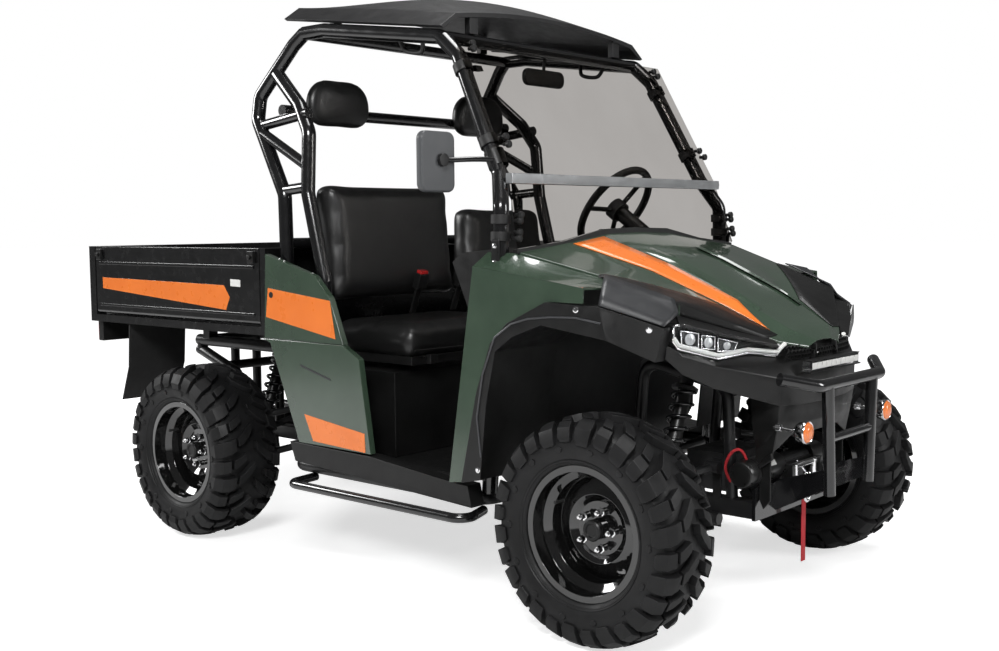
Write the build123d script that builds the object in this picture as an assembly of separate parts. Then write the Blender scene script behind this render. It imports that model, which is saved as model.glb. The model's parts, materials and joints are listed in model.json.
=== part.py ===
from build123d import *
import math
import os

# A side-by-side utility vehicle: a bent-tube cage over a three-seat cab, a tipping drop-side bed,
# a sloping bonnet and four wheels on wishbones. Millimetres, +X forward, +Y to the left, +Z up.
# The origin is on the ground at the middle of the overall length and width.

# ---- Driving dimensions ----
overall_length = 3140.0
overall_width = 1580.0
wheelbase = 1935.0
front_overhang = 452.5
tyre_diameter = 660.0
front_tyre_width = 230.0
rear_tyre_width = 270.0
rim_flange_diameter = 390.0
rail_height = 340.0
cage_tube = 50.0
cage_top = 1880.0
roof_top = 2020.0
bed_length = 1190.0
bed_floor_top = 830.0
bed_wall_top = 1115.0
bed_wall = 30.0
post = 45.0
panel = 5.0
clearance = 6.0
seat_on = 0.3

# ---- Places worked out from them ----
front_axle_x = overall_length / 2 - front_overhang
rear_axle_x = front_axle_x - wheelbase
half_width = overall_width / 2
axle_z = tyre_diameter / 2
tyre_radius = tyre_diameter / 2
rim_radius = rim_flange_diameter / 2
front_wheel_y = half_width - front_tyre_width / 2
rear_wheel_y = half_width - rear_tyre_width / 2
body_y = half_width - 70.0
pillar_y = half_width - 150.0
rail_y = 235.0
kingpin_y = front_wheel_y - 105.0
bed_half = half_width - 90.0
bed_rear_x = -overall_length / 2 + 28.0
bed_front_x = bed_rear_x + bed_length
bed_hinge_x = bed_rear_x + 190.0
bed_hinge_z = bed_floor_top - 62.0


def front(distance):
    """X of a place measured forward from the front axle."""
    return front_axle_x + distance


def rear(distance):
    """X of a place measured forward from the rear axle."""
    return rear_axle_x + distance


# ---- Shapes shared by the pieces ----
def block(x0, x1, y0, y1, z0, z1):
    """A box between six planes."""
    centre = ((x0 + x1) / 2, (y0 + y1) / 2, (z0 + z1) / 2)
    return Pos(*centre) * Box(abs(x1 - x0), abs(y1 - y0), abs(z1 - z0))


def prism(points, travel):
    """A closed outline of 3-D points in one plane, pushed along a vector."""
    face = Face(Wire.make_polygon([Vector(*p) for p in points], close=True))
    return Solid.extrude(face, Vector(*travel))


def side_prism(outline, y0, y1):
    """An outline of (x, z) points between two planes of constant y."""
    return prism([(x, y0, z) for x, z in outline], (0, y1 - y0, 0))


def plan_prism(outline, z0, z1):
    """An outline of (x, y) points between two heights."""
    return prism([(x, y, z0) for x, y in outline], (0, 0, z1 - z0))


def cross_prism(outline, x0, x1):
    """An outline of (y, z) points between two planes of constant x."""
    return prism([(x0, y, z) for y, z in outline], (x1 - x0, 0, 0))


def tube(points, diameter, bend=60.0):
    """A round bar through the points, each corner rounded to the bend radius."""
    if len(points) == 2:
        path = Line(points[0], points[1])
    else:
        path = FilletPolyline(*points, radius=bend)
    start = path @ 0
    plane = Plane(origin=start, z_dir=path % 0)
    return sweep(plane * Circle(diameter / 2), path=path)


def rod(start, end, diameter):
    """A straight round bar between two points."""
    direction = Vector(*end) - Vector(*start)
    plane = Plane(origin=start, z_dir=direction)
    return extrude(plane * Circle(diameter / 2), amount=direction.length)


def turned(profile, x, y, z):
    """A closed outline of (y, radius) points turned about the Y axis and moved to a centre."""
    face = Face(Wire.make_polygon([Vector(0, a, r) for a, r in profile], close=True))
    return Pos(x, y, z) * revolve(face, axis=Axis.Y)


def skin(stations, thickness):
    """A panel through cross-sections: each is (x, [(y, z), ...]) with the same number of points.
    The inner face lies one thickness below the outer one."""
    wires = []
    for x, outline in stations:
        under = [(y, z - thickness) for y, z in reversed(outline)]
        ring = [Vector(x, y, z) for y, z in outline + under]
        wires.append(Wire.make_polygon(ring, close=True))
    return Solid.make_loft(wires, ruled=True)


def loft_rings(rings):
    """A ruled solid through closed rings of 3-D points, one planar ring per list."""
    wires = [Wire.make_polygon([Vector(*p) for p in ring], close=True) for ring in rings]
    return Solid.make_loft(wires, ruled=True)


def mirrored_outline(half_points):
    """A left-to-right outline from its left half, whose last point is on the middle plane."""
    return half_points + [(-y, z) for y, z in reversed(half_points[:-1])]


def both_sides(solid):
    """The solid and its mirror image across the middle plane."""
    return [solid, mirror(solid, about=Plane.XZ)]


def joined(solids):
    """One solid, or the fewest that remain, from a list of overlapping ones."""
    whole = solids[0]
    for solid in solids[1:]:
        whole = whole + solid
    return whole


def cut(solid, tools):
    """The solid with every tool taken away."""
    for tool in tools:
        solid = solid - tool
    return solid


# ---- Wheels ----
tyre_wall = 14.0
tread_wall = 24.0
rim_inset = 24.0
rim_lip = 6.0


def tyre(x, side, width):
    half = width / 2
    bead = rim_radius - 15.0 + seat_on
    wall = half - rim_inset - rim_lip - seat_on
    outer = [(-wall, bead), (-wall, rim_radius + 2), (-half + 4, bead + 42), (-half, bead + 70)]
    outer += [(-half + 10, tyre_radius - 22)]
    crown = [(-half + 34, tyre_radius)]
    left = outer + crown
    right = [(-a, r) for a, r in reversed(left)]
    inner_right = [(wall - tyre_wall, bead), (half - tyre_wall, bead + 70)]
    inner_top = [(half - 34 - tyre_wall, tyre_radius - tread_wall)]
    inner = inner_right + inner_top
    inner_left = [(-a, r) for a, r in reversed(inner)]
    wheel_y = side * (half_width - half)
    return turned(left + right + inner + inner_left, x, wheel_y, axle_z)


rim_sheet = 5.0
dish_depth = 92.0
hub_depth = 30.0
lug_circle = 55.0
lug_count = 5


def rim(x, side, width):
    """Steel wheel: barrel with flanges, a deep-set disc and the hub cap in front of it."""
    half = width / 2 - rim_inset
    seat = rim_radius - 15.0
    drop = rim_radius - 37.0
    lip = rim_lip
    outside = [(-half, rim_radius), (-half + lip, rim_radius), (-half + lip, seat), (-half + 40, seat)]
    outside += [(-half + 52, drop), (half - 62, drop), (half - 46, seat), (half - lip, seat)]
    outside += [(half - lip, rim_radius), (half, rim_radius)]
    inside = [(half, seat - rim_sheet), (half - 48, seat - rim_sheet), (half - 64, drop - rim_sheet)]
    inside += [(-half + 54, drop - rim_sheet), (-half + 42, seat - rim_sheet), (-half, seat - rim_sheet)]
    face = half - dish_depth
    disc = [(face, 30), (face, 78), (face + 16, 100), (face + 6, 128), (face - 16, drop - 3)]
    disc += [(face - 22, drop - 3), (face, 126), (face + 8, 98), (face - 8, 76), (face - 8, 30)]
    cap = [(face - hub_depth, 0), (face - hub_depth, 30), (face + 22, 30), (face + 34, 24), (face + 38, 0)]
    pieces = [turned(outside + inside, 0, 0, 0), turned(disc, 0, 0, 0), turned(cap, 0, 0, 0)]
    for index in range(lug_count):
        angle = 2 * math.pi * index / lug_count
        px, pz = lug_circle * math.cos(angle), lug_circle * math.sin(angle)
        pieces.append(rod((px, face - 4, pz), (px, face + 20, pz), 19.0))
    whole = joined(pieces)
    if side < 0:
        whole = mirror(whole, about=Plane.XZ)
    return Pos(x, side * (half_width - width / 2), axle_z) * whole


# ---- Front suspension and steering ----
lower_ball_z = axle_z - 78.0
upper_ball_z = axle_z + 82.0
front_hub_face = front_wheel_y + front_tyre_width / 2 - rim_inset - dish_depth - hub_depth
steer_arm = 95.0
rack_z = axle_z + 90.0
arm_spread = 130.0
pivot_y = rail_y + 25.0 + 19.3
ball_gap = 27.0
ball_half = 16.0
stud_size = 16.0


def knuckle(side):
    """Upright with the stub axle, both ball-joint bosses, the brake caliper and the steering arm."""
    upright = block(-26, 26, kingpin_y - 20, kingpin_y + 14, lower_ball_z + ball_gap, upper_ball_z - ball_gap)
    studs = rod((0, kingpin_y, lower_ball_z + ball_half + seat_on), (0, kingpin_y, upper_ball_z - ball_half - seat_on), stud_size)
    drum = rod((0, kingpin_y + 6, axle_z), (0, front_hub_face - seat_on, axle_z), 92.0)
    disc = rod((0, front_hub_face - 18, axle_z), (0, front_hub_face - 12, axle_z), 210.0)
    caliper = block(-105, -50, front_hub_face - 40, front_hub_face - 4, axle_z - 8, axle_z + 78)
    bridge = block(-70, -10, kingpin_y, front_hub_face - 30, axle_z + 5, axle_z + 45)
    arm = block(-steer_arm - 18, -28, kingpin_y - 14, kingpin_y + 14, rack_z - 45, rack_z - 25)
    root = block(-40, -20, kingpin_y - 14, kingpin_y + 14, rack_z - 45, rack_z - 37)
    whole = joined([upright, studs, drum, disc, caliper, bridge, arm, root])
    if side < 0:
        whole = mirror(whole, about=Plane.XZ)
    return Pos(front_axle_x, 0, 0) * whole


def wishbone(x, inner_y, inner_z, ball_y, ball_z, spread, diameter):
    """Two tubes from a pivot pair on the frame to one ball joint."""
    legs = [rod((x + s * spread, inner_y, inner_z), (x, ball_y, ball_z), diameter) for s in (-1, 1)]
    bushes = [rod((x + s * spread - 22, inner_y, inner_z), (x + s * spread + 22, inner_y, inner_z), 38.0)
              for s in (-1, 1)]
    ball = rod((x, ball_y, ball_z - ball_half), (x, ball_y, ball_z + ball_half), 44.0)
    return joined(legs + bushes + [ball])


shock_x = 30.0
shock_foot_y = 430.0


def lower_arm(x, ball_y):
    """Lower wishbone with the cross-bar that the shock absorber stands on."""
    arm = wishbone(x, pivot_y, rail_height - 35, ball_y, lower_ball_z, arm_spread, 28.0)
    share = (shock_foot_y - pivot_y) / (ball_y - pivot_y)
    reach = arm_spread * (1 - share)
    z = rail_height - 35 + share * (lower_ball_z - rail_height + 35)
    return arm + rod((x - reach, shock_foot_y, z), (x + reach, shock_foot_y, z), 24.0)


def upper_arm(x, ball_y):
    return wishbone(x, pivot_y, rail_height + 120, ball_y, upper_ball_z, arm_spread, 26.0)


def front_suspension():
    return both_sides(lower_arm(front_axle_x, kingpin_y)) + both_sides(upper_arm(front_axle_x, kingpin_y))


def rear_suspension():
    carrier_y = rear_wheel_y - 82.0
    lower = lower_arm(rear_axle_x, carrier_y)
    upper = upper_arm(rear_axle_x, carrier_y)
    hub_face = half_width - rim_inset - dish_depth - hub_depth
    upright = block(rear_axle_x - 28, rear_axle_x + 28, carrier_y - 22, carrier_y + 18,
                    lower_ball_z - 6, upper_ball_z + 6)
    drum = rod((rear_axle_x, carrier_y, axle_z), (rear_axle_x, hub_face - seat_on, axle_z), 92.0)
    disc = rod((rear_axle_x, hub_face - 18, axle_z), (rear_axle_x, hub_face - 12, axle_z), 210.0)
    return both_sides(joined([lower, upper, upright, drum, disc]))


def steering_rack():
    """Rack bar with both tie rods; it slides sideways behind the axle line."""
    x = front(-steer_arm)
    end_y = kingpin_y
    bar = rod((x, -rail_y - 30, rack_z), (x, rail_y + 30, rack_z), 24.0)
    ties = [rod((x, s * (rail_y + 20), rack_z), (x, s * end_y, rack_z - 4), 16.0) for s in (-1, 1)]
    ends = [rod((x, s * end_y, rack_z - 15), (x, s * end_y, rack_z + 8), 26.0) for s in (-1, 1)]
    return [joined([bar] + ties + ends)]


# ---- Frame ----
deck_z = rail_height + 25.0
floor_z = deck_z + 40.0
diff_z = axle_z + 80.0
floor_gauge = 6.0
rear_rail_z = 690.0
hitch_x = bed_rear_x + 70.0
hitch_hole_r = 12.0
hitch_plate = 12.0
hitch_z = 380.0


frame_tube = 42.0
rail_size = 50.0
rail_top = rail_height + rail_size / 2
ladder_rungs = [rear(-104), rear(250), rear(540), rear(900), front(-440), front(-150), front(205)]
strut_y = 120.0
strut_foot = (bed_hinge_x + 112.0, strut_y, bed_hinge_z - 208.0)
strut_eye = (bed_hinge_x + 240.0, strut_y, bed_hinge_z - 13.0)
strut_pin = 12.0
tie_z = 372.0
tower_tube = 36.0


def chassis_frame():
    """Ladder of two box rails with round rungs and arm brackets, and a loop of tube along each side."""
    solids = []
    sill_y = body_y - 70.0
    loops = []
    for s in (-1, 1):
        y = s * rail_y
        for axle in (front_axle_x, rear_axle_x):
            for end in (-1, 1):
                x = axle + end * arm_spread
                solids.append(block(x - 14, x + 14, y - 20, y + s * 25, rail_height - 65, rail_height + 145))
        solids.append(block(rear(-150), front(250), y - rail_size / 2, y + rail_size / 2,
                            rail_height - rail_size / 2, rail_top))
        solids.append(block(rear(625), front(-455), y - 20, y + 20, rail_height, floor_z))
        saddle = block(front(-steer_arm - 23), front(-steer_arm + 23), s * 215, s * 255, rail_height, rack_z + 22)
        saddle = saddle - rod((front(-steer_arm), s * 200, rack_z), (front(-steer_arm), s * 270, rack_z), 24.6)
        solids.append(saddle)
        foot_y = s * (rail_y + rail_size / 2 + seat_on)
        loop = [(rear(530), foot_y, rail_height), (rear(560), s * sill_y, rail_height),
                (front(-470), s * sill_y, rail_height), (front(-440), foot_y, rail_height)]
        inside = block(rear(400), front(-300), s * rail_y, foot_y, rail_height - 60, rail_height + 60)
        loops.append(tube(loop, frame_tube + 2, 60.0) - inside)
    for x in ladder_rungs:
        solids.append(rod((x, -rail_y, rail_height), (x, rail_y, rail_height), frame_tube))
    return [joined(solids)] + loops


def rear_subframe():
    """Upper rails under the bed, the kick-up behind the axle, the drawbar and the bed's hinge."""
    solids = []
    back_x = hitch_x + 60
    for s in (-1, 1):
        y = s * rail_y
        kick = [(rear(-140), y, rail_height), (rear(-215), y, rail_height), (rear(-350), y, rear_rail_z - 130),
                (back_x - 20, y, rear_rail_z - 40)]
        behind = block(rear(-150) - seat_on, rear(0), y - 60, y + 60, rail_height - 60, rail_height + 60)
        solids.append(tube(kick, 48.0, 40.0) - behind)
        solids.append(rod((rear(250), y, rail_top + seat_on), (rear(250), y, rear_rail_z), 46.0))
        solids.append(rod((rear(-60), y, rail_top + seat_on), (rear(-60), y, rear_rail_z), 40.0))
        solids.append(rod((rear(420), y, rear_rail_z), (back_x - 20, y, rear_rail_z), 50.0))
        solids.append(rod((back_x, y, rear_rail_z - 60), (back_x, y, rear_rail_z), 46.0))
        solids.append(rod((back_x, s * 60, rear_rail_z), (back_x, s * 60, hitch_z), 40.0))
        solids.append(rod((rear(-190), s * 60, tie_z), (back_x, s * 60, hitch_z + 20), 34.0))
        ear_y = strut_y + s * 17.5
        ear = (strut_foot[0] - 38, strut_foot[0] + 14, min(ear_y, ear_y + s * 6), max(ear_y, ear_y + s * 6))
        solids.append(block(*ear, strut_foot[2] - 14, strut_foot[2] + 14))
        solids.append(rod((bed_hinge_x, s * 212, bed_hinge_z), (bed_hinge_x, s * 258, bed_hinge_z), 44.0))
        solids.append(block(bed_hinge_x - 22, bed_hinge_x + 22, s * 212, s * 258, rear_rail_z, bed_hinge_z))
        solids.append(block(rear(232), rear(268), s * 150, s * 190, rear_rail_z, bed_hinge_z - 22 - seat_on))
    for x in (rear(250), rear(-60), back_x):
        solids.append(rod((x, -rail_y, rear_rail_z), (x, rail_y, rear_rail_z), frame_tube))
    for x, z in [(rear(-190), tie_z), (strut_foot[0] - 38, strut_foot[2] + 20)]:
        solids.append(rod((x, -rail_y, z), (x, rail_y, z), 40.0))
    foot_pin = ((strut_foot[0], strut_y - 22, strut_foot[2]), (strut_foot[0], strut_y + 22, strut_foot[2]))
    solids.append(rod(*foot_pin, strut_pin))
    solids.append(block(hitch_x - 60, hitch_x + 85, -85, 85, hitch_z - hitch_plate, hitch_z))
    solids.append(rod((bed_hinge_x, -230, bed_hinge_z), (bed_hinge_x, 230, bed_hinge_z), 22.0))
    hole = rod((hitch_x - 25, 0, hitch_z - 30), (hitch_x - 25, 0, hitch_z + 30), 2 * hitch_hole_r)
    return [cut(joined(solids), [hole])]


def front_tower():
    """Hoops over the front axle that hold the shock absorbers, with two stays to the nose."""
    solids = []
    foot = rail_top + seat_on
    for s in (-1, 1):
        y = s * rail_y
        hoop = [(front(-185), y, foot - 15), (front(-150), y, 760), (front(150), y, 700), (front(170), y, foot - 15)]
        solids.append(tube(hoop, tower_tube, 50.0) - block(front(-300), front(300), y - 60, y + 60, rail_height, foot))
        stay = rod((front(150), y, 700), (front(338), y, 700), 30.0)
        solids.append(stay - Pos(-seat_on, 0, 0) * nose_apron())
    for x, z in [(front(-146), 745), (front(150), 690)]:
        solids.append(rod((x, -rail_y, z), (x, rail_y, z), frame_tube))
    return [joined(solids)]


# Front pillar and top rail, foot first: x, half width, z. The pillar leans inward above the cowl.
pillar_line = [
    (front(-454), pillar_y, rail_height),
    (front(-404), pillar_y - 2, 1046.0),
    (front(-404), pillar_y - 8, 1250.0),
    (front(-455), pillar_y - 62, 1350.0),
    (front(-657), pillar_y - 99, 1732.0),
    (front(-735), pillar_y - 100, cage_top - 80),
    (rear(640), pillar_y - 92, cage_top),
    (rear(530), pillar_y - 90, cage_top),
]
# Rear hoop and the post behind it: x, half width, z.
hoop_line = [
    (rear(530), pillar_y - 90, cage_top),
    (rear(484), pillar_y - 78, 1842.0),
    (rear(338), pillar_y - 37, 1667.0),
    (rear(334), pillar_y - 27, 1580.0),
    (rear(512), pillar_y, 1305.0),
    (rear(521), pillar_y, 835.0),
    (rear(602), pillar_y, rail_height),
]
post_line = [
    (rear(420), pillar_y - 54, 1742.0),
    (rear(568), pillar_y - 32, 1617.0),
    (rear(633), pillar_y - 16, 1520.0),
    (rear(640), pillar_y, 1310.0),
    (rear(722), pillar_y, 1000.0),
    (rear(722), pillar_y, rail_height),
]


def pillar_at(z, side=1):
    """The front pillar's centre at a height between the floor and the roof."""
    for low, high in zip(pillar_line, pillar_line[1:5]):
        if z <= high[2] or high is pillar_line[4]:
            share = (z - low[2]) / (high[2] - low[2])
            x, half = (a + share * (b - a) for a, b in zip(low[:2], high[:2]))
            return (x, side * half, z)


def cage_side(s):
    """Front pillar and top rail in one bend, the rear hoop with its backward bulge, and its braces."""
    sides = [[(x, s * half, z) for x, half, z in line] for line in (pillar_line, hoop_line, post_line)]
    pieces = [tube(sides[0], cage_tube, 50.0), tube(sides[1], cage_tube, 55.0), tube(sides[2], cage_tube, 55.0)]
    braces = [((rear(352), 30, 1560), (rear(628), 22, 1590)), ((rear(640), 0, 1330), (rear(500), 2, 1320)),
              ((rear(640), 4, 1400), (rear(380), 14, 1530))]
    for (x0, in0, z0), (x1, in1, z1) in braces:
        pieces.append(rod((x0, s * (pillar_y - in0), z0), (x1, s * (pillar_y - in1), z1), 38.0))
    return pieces


headrest_bar_z = 1608.0
headrest_bar_x = rear(472)
roof_bar_z = cage_top - 80
cross_tube = 42.0


def roll_cage():
    solids = cage_side(-1) + cage_side(1)
    bars = [(*pillar_line[5][:2], roof_bar_z), (*pillar_line[7][:2], cage_top),
            (headrest_bar_x, pillar_y - 27, headrest_bar_z), (rear(512), pillar_y, 1130)]
    for x, half, z in bars:
        solids.append(rod((x, -half, z), (x, half, z), cross_tube))
    feet = block(rear(0), front(0), -half_width, half_width, 0, rail_height + 22.3)
    return [joined(solids) - feet]


def roof_section(x, edge_z, crown_z, half):
    """Outline of the hard top at one station: side fascia, domed top and hollow underside."""
    gauge = 14.0
    top = ThreePointArc((x, -half + 70, edge_z + 48), (x, 0, crown_z), (x, half - 70, edge_z + 48))
    low = ThreePointArc((x, half - 84, edge_z + 48 - gauge), (x, 0, crown_z - gauge), (x, -half + 84, edge_z + 48 - gauge))
    right = Polyline((x, half - 70, edge_z + 48), (x, half, edge_z), (x, half - gauge, edge_z - 6), (x, half - 84, edge_z + 48 - gauge))
    left = Polyline((x, -half + 84, edge_z + 48 - gauge), (x, -half + gauge, edge_z - 6), (x, -half, edge_z), (x, -half + 70, edge_z + 48))
    return Wire([top.edge()] + right.edges() + [low.edge()] + left.edges())


roof_half = pillar_y - 67.0
roof_rear_edge = roof_top - 81.0
roof_front_edge = roof_top - 190.0


def roof_panel():
    """Hollow domed top on four blocks that stand on the cage's cross bars."""
    rear_x, front_x = rear(445), front(-712)
    stations = [(rear_x, roof_rear_edge, roof_top - 16, roof_half), (rear(850), roof_rear_edge - 55, roof_top, roof_half),
                (front_x, roof_front_edge, roof_front_edge + 84, roof_half - 6)]
    shell = Solid.make_loft([roof_section(*station) for station in stations], ruled=False)
    blocks = []
    for x, low, high in [(pillar_line[5][0] + 4, roof_bar_z, 80.0), (pillar_line[7][0], cage_top, 104.0)]:
        for s in (-1, 1):
            y0, y1 = sorted((s * 380, s * 420))
            blocks.append(block(x - 12, x + 12, y0, y1, low + cross_tube / 2 + seat_on, low + high))
    return [joined([shell] + blocks)]


# ---- Windscreen ----
pane = 6.0
# Windscreen lines across the body: x, z and the pane's half width there.
screen_top = (front(-650), 1788.0, pillar_y - 68)
screen_bar = (front(-404), 1334.0, pillar_y - 44)
screen_foot = (front(-350), 1132.0, pillar_y - 14)
# Lower edge of the windscreen over the bonnet: (y, z) from the side to the middle.
seal_line = [(626, 1118), (397, 1140), (184, 1176), (0, 1180)]
seal_deep = 24.0
bar_half_height = 14.0


def on_pane(y, z, foot, head):
    """A point on the plane through two (x, z) lines that run across the body."""
    share = (z - foot[1]) / (head[1] - foot[1])
    return (foot[0] + share * (head[0] - foot[0]), y, z)


def windscreen():
    """Two clear panes: the upper leans back with the pillars, the lower stands on the seal."""
    gap = bar_half_height + seat_on
    bar_z, bar_half = screen_bar[1:]
    top_half = screen_top[2]
    upper = [(-top_half, screen_top[1]), (top_half, screen_top[1]), (bar_half, bar_z + gap), (-bar_half, bar_z + gap)]
    low_edge = [(y, z + seat_on) for y, z in mirrored_outline([(screen_foot[2], 1120)] + seal_line[1:])]
    lower = [(-bar_half, bar_z - gap), (bar_half, bar_z - gap)] + low_edge
    panes = []
    for outline, foot, head in [(upper, screen_bar, screen_top), (lower, screen_foot, screen_bar)]:
        points = [on_pane(y, z, foot, head) for y, z in outline]
        panes.append(prism(points, (pane, 0, 0)))
    return panes


def screen_clamp(z, side):
    """Split ring round a pillar with the ear that holds the pane."""
    foot, head = (screen_bar, screen_top) if z > screen_bar[1] else (screen_foot, screen_bar)
    x, y, _ = pillar_at(z, side)
    ring = rod(pillar_at(z - 14, side), pillar_at(z + 14, side), cage_tube + 12)
    bore = rod(pillar_at(z - 30, side), pillar_at(z + 30, side), cage_tube + 2 * seat_on)
    back = [(on_pane(y, h, foot, head)[0] - seat_on, h) for h in (z - 9, z + 9)]
    ear = [(x + 17, z - 9), (x + 17, z + 9), back[1], back[0]]
    return joined([ring, side_prism(ear, y - side * 50, y - side * 22)]) - bore


def windscreen_fittings():
    """The bar between the panes, the seal that follows the bonnet, and the clamps on the pillars."""
    x, z, half = screen_bar
    bar = block(x - 6, x + 16, -half - 4, half + 4, z - bar_half_height, z + bar_half_height)
    line = mirrored_outline(seal_line)
    outline = line + [(y, z - seal_deep) for y, z in reversed(line)]
    seal = cross_prism(outline, front(-362), front(-344))
    clamps = [screen_clamp(height, s) for height in (1158, 1210, 1450, 1690) for s in (-1, 1)]
    return [bar, seal] + clamps


# ---- Bonnet, wings and nose ----
# Bonnet stations: x, skirt depth, middle z, plateau (y, z), crease (y, z), edge (y, z).
bonnet_table = [
    (front(-338), 30, 1164, (182, 1160), (390, 1134), (624, 1110)),
    (front(-88), 30, 1072, (168, 1068), (302, 1048), (541, 1040)),
    (front(137), 18, 966, (150, 963), (224, 940), (482, 940)),
    (front(300), 8, 876, (120, 873), (172, 852), (200, 845)),
    (front(350), 8, 838, (40, 836), (66, 828), (92, 822)),
]


def shell_loft(stations, gauge):
    """A ruled shell through (x, outline) stations; its two free edges keep their height."""
    wires = []
    for x, outline in stations:
        last = len(outline) - 1
        inner = []
        for index, (y, z) in enumerate(outline):
            inward = gauge if y > 0 else -gauge
            if y == 0:
                inward = 0
            drop = 0 if index in (0, last) else gauge
            inner.append((y - inward, z - drop))
        ring = [Vector(x, y, z) for y, z in outline + inner[::-1]]
        wires.append(Wire.make_polygon(ring, close=True))
    return Solid.make_loft(wires, ruled=True)


def hood():
    stations = []
    for x, skirt, middle, plateau, crease, edge in bonnet_table:
        half = [(edge[0], edge[1] - skirt), edge, crease, plateau, (0, middle)]
        stations.append((x, mirrored_outline(half)))
    shell = shell_loft(stations, panel)
    lug = block(hood_pin[0] - 8, hood_pin[0] + 8, 62, 70, hood_pin[1], 830)
    eye = rod(hood_pin_at(62), hood_pin_at(70), 18.0)
    bores = rod(hood_pin_at(-90), hood_pin_at(90), hood_pin_size + 0.4)
    return [joined([shell] + both_sides(lug) + both_sides(eye)) - bores]


hood_pin = (front(346), 807.0)
hood_pin_size = 8.0


def hood_pin_at(y):
    """A place on the bonnet's hinge line, which runs across the nose."""
    return (hood_pin[0], y, hood_pin[1])

# Wheel-arch flare from the door round to the lamp: outer (x from the front datum, z), inner (x, z), half width.
arch_table = [
    ((-462, 412), (-384, 430), half_width - 30.0),
    ((-400, 690), (-360, 660), half_width - 32.0),
    ((-345, 845), (-325, 822), half_width - 35.0),
    ((-285, 906), (-262, 868), half_width - 40.0),
    ((-154, 972), (-170, 905), half_width - 58.0),
    ((4, 962), (29, 869), half_width - 100.0),
    ((158, 902), (130, 806), half_width - 195.0),
]
flare_outer = [outer for outer, inner, half in arch_table]


def wing_y(z):
    """The wing's side leans inward as it rises."""
    return body_y + 24.0 - (z - 400.0) * 0.055


def front_fenders():
    """Green wing: side skin above and behind the arch, and the top facet out to the bonnet."""
    gap = 8.0
    side = [(-528, 402), (-455, 1068), (-34, 1014), (-34, 971)]
    arch = [(x, z) for x, z in reversed(flare_outer[:5])]
    outline = [(front(x), wing_y(z), z) for x, z in side + arch]
    skin_side = prism(outline, (0, -panel, 0))
    # Top facet stations: x, outer (y, z), inner (y, z).
    table = [(-455, (wing_y(1068), 1068), (636, 1110)), (-352, (wing_y(1056), 1056), (636, 1108)),
             (-88, (wing_y(1022), 1022), (541 + gap, 1034)), (-34, (wing_y(1014), 1014), (526 + gap, 1010))]
    wires = []
    for x, outer, inner in table:
        ring = [outer, inner, (inner[0], inner[1] - panel), (outer[0] - panel, outer[1] - panel)]
        wires.append(Wire.make_polygon([Vector(front(x), y, z) for y, z in ring], close=True))
    top = Solid.make_loft(wires, ruled=True)
    tunnel = [rod(pillar_line[0], pillar_line[1], cage_tube + 1), rod(pillar_line[1], pillar_line[2], cage_tube + 1)]
    return both_sides(cut(joined([skin_side, top]), tunnel))


def fender_caps():
    """Dark faceted cap at the front of each wing, between the flare and the bonnet."""
    # Sections, rear to front: bonnet edge, ridge and flare edge, each (x from the front datum, y, z).
    table = [[(-78, 549, 1047), (-30, 621, 1029), (2, 688, 967.8)],
             [(30, 518, 1013), (55, 566, 987), (80, 636, 938.4)],
             [(126, 492, 980), (150, 505, 940), (156, 587, 909.2)]]
    rings = []
    for edge, ridge, low in table:
        normal = (Vector(*ridge) - Vector(*edge)).cross(Vector(*low) - Vector(*edge)).normalized()
        down = (Vector(0, 0, -1) + normal * normal.Z).normalized() * panel
        back = [tuple(Vector(*point) + down) for point in (low, ridge, edge)]
        rings.append([(front(x), y, z) for x, y, z in [edge, ridge, low] + back])
    return both_sides(loft_rings(rings))


def front_wheel_arches():
    """Flare band around the opening, and the liner that runs inward from it."""
    depth = 46.0
    liner_y = 455.0
    band, liner = [], []
    for (xo, zo), (xi, zi), half in arch_table:
        corners = [(xo, half, zo), (xi, half, zi), (xi, half - depth, zi), (xo, half - depth, zo)]
        band.append([(front(x), y, z) for x, y, z in corners])
        skin = [(xi, half - 8, zi), (xi - 5, half - 8, zi + 5), (xi - 5, liner_y, zi + 5), (xi, liner_y, zi)]
        liner.append([(front(x), y, z) for x, y, z in skin])
    return both_sides(joined([loft_rings(band), loft_rings(liner)]))


def nose_apron():
    """Black lower nose: one wall wrapped round from arch to arch, open behind."""
    # Levels: z, then plan points (x from the front datum, y) from the corner to the middle.
    table = [(800, [(132, 540), (214, 420), (312, 190), (346, 0)]),
             (735, [(140, 530), (232, 420), (346, 250), (362, 0)]),
             (640, [(122, 500), (240, 390), (332, 255), (350, 0)]),
             (560, [(120, 380), (230, 320), (300, 240), (318, 0)]),
             (440, [(150, 250), (232, 240), (262, 215), (286, 200)])]
    depth = 13.0
    rings = []
    for z, half in table[:4]:
        outer = [(front(x), y) for x, y in half] + [(front(x), -y) for x, y in reversed(half[:-1])]
        inner = [(x - depth, y * 0.985) for x, y in reversed(outer)]
        rings.append([(x, y, z) for x, y in outer + inner])
    return loft_rings(rings)


def nose_fascia():
    """The apron and the two ears that carry the bonnet's hinge pins."""
    ear = block(front(324), hood_pin[0] + 7, 72, 79, 785, hood_pin[1] + 6)
    pin = rod(hood_pin_at(60), hood_pin_at(79), hood_pin_size)
    return [joined([nose_apron()] + both_sides(ear) + both_sides(pin))]


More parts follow.
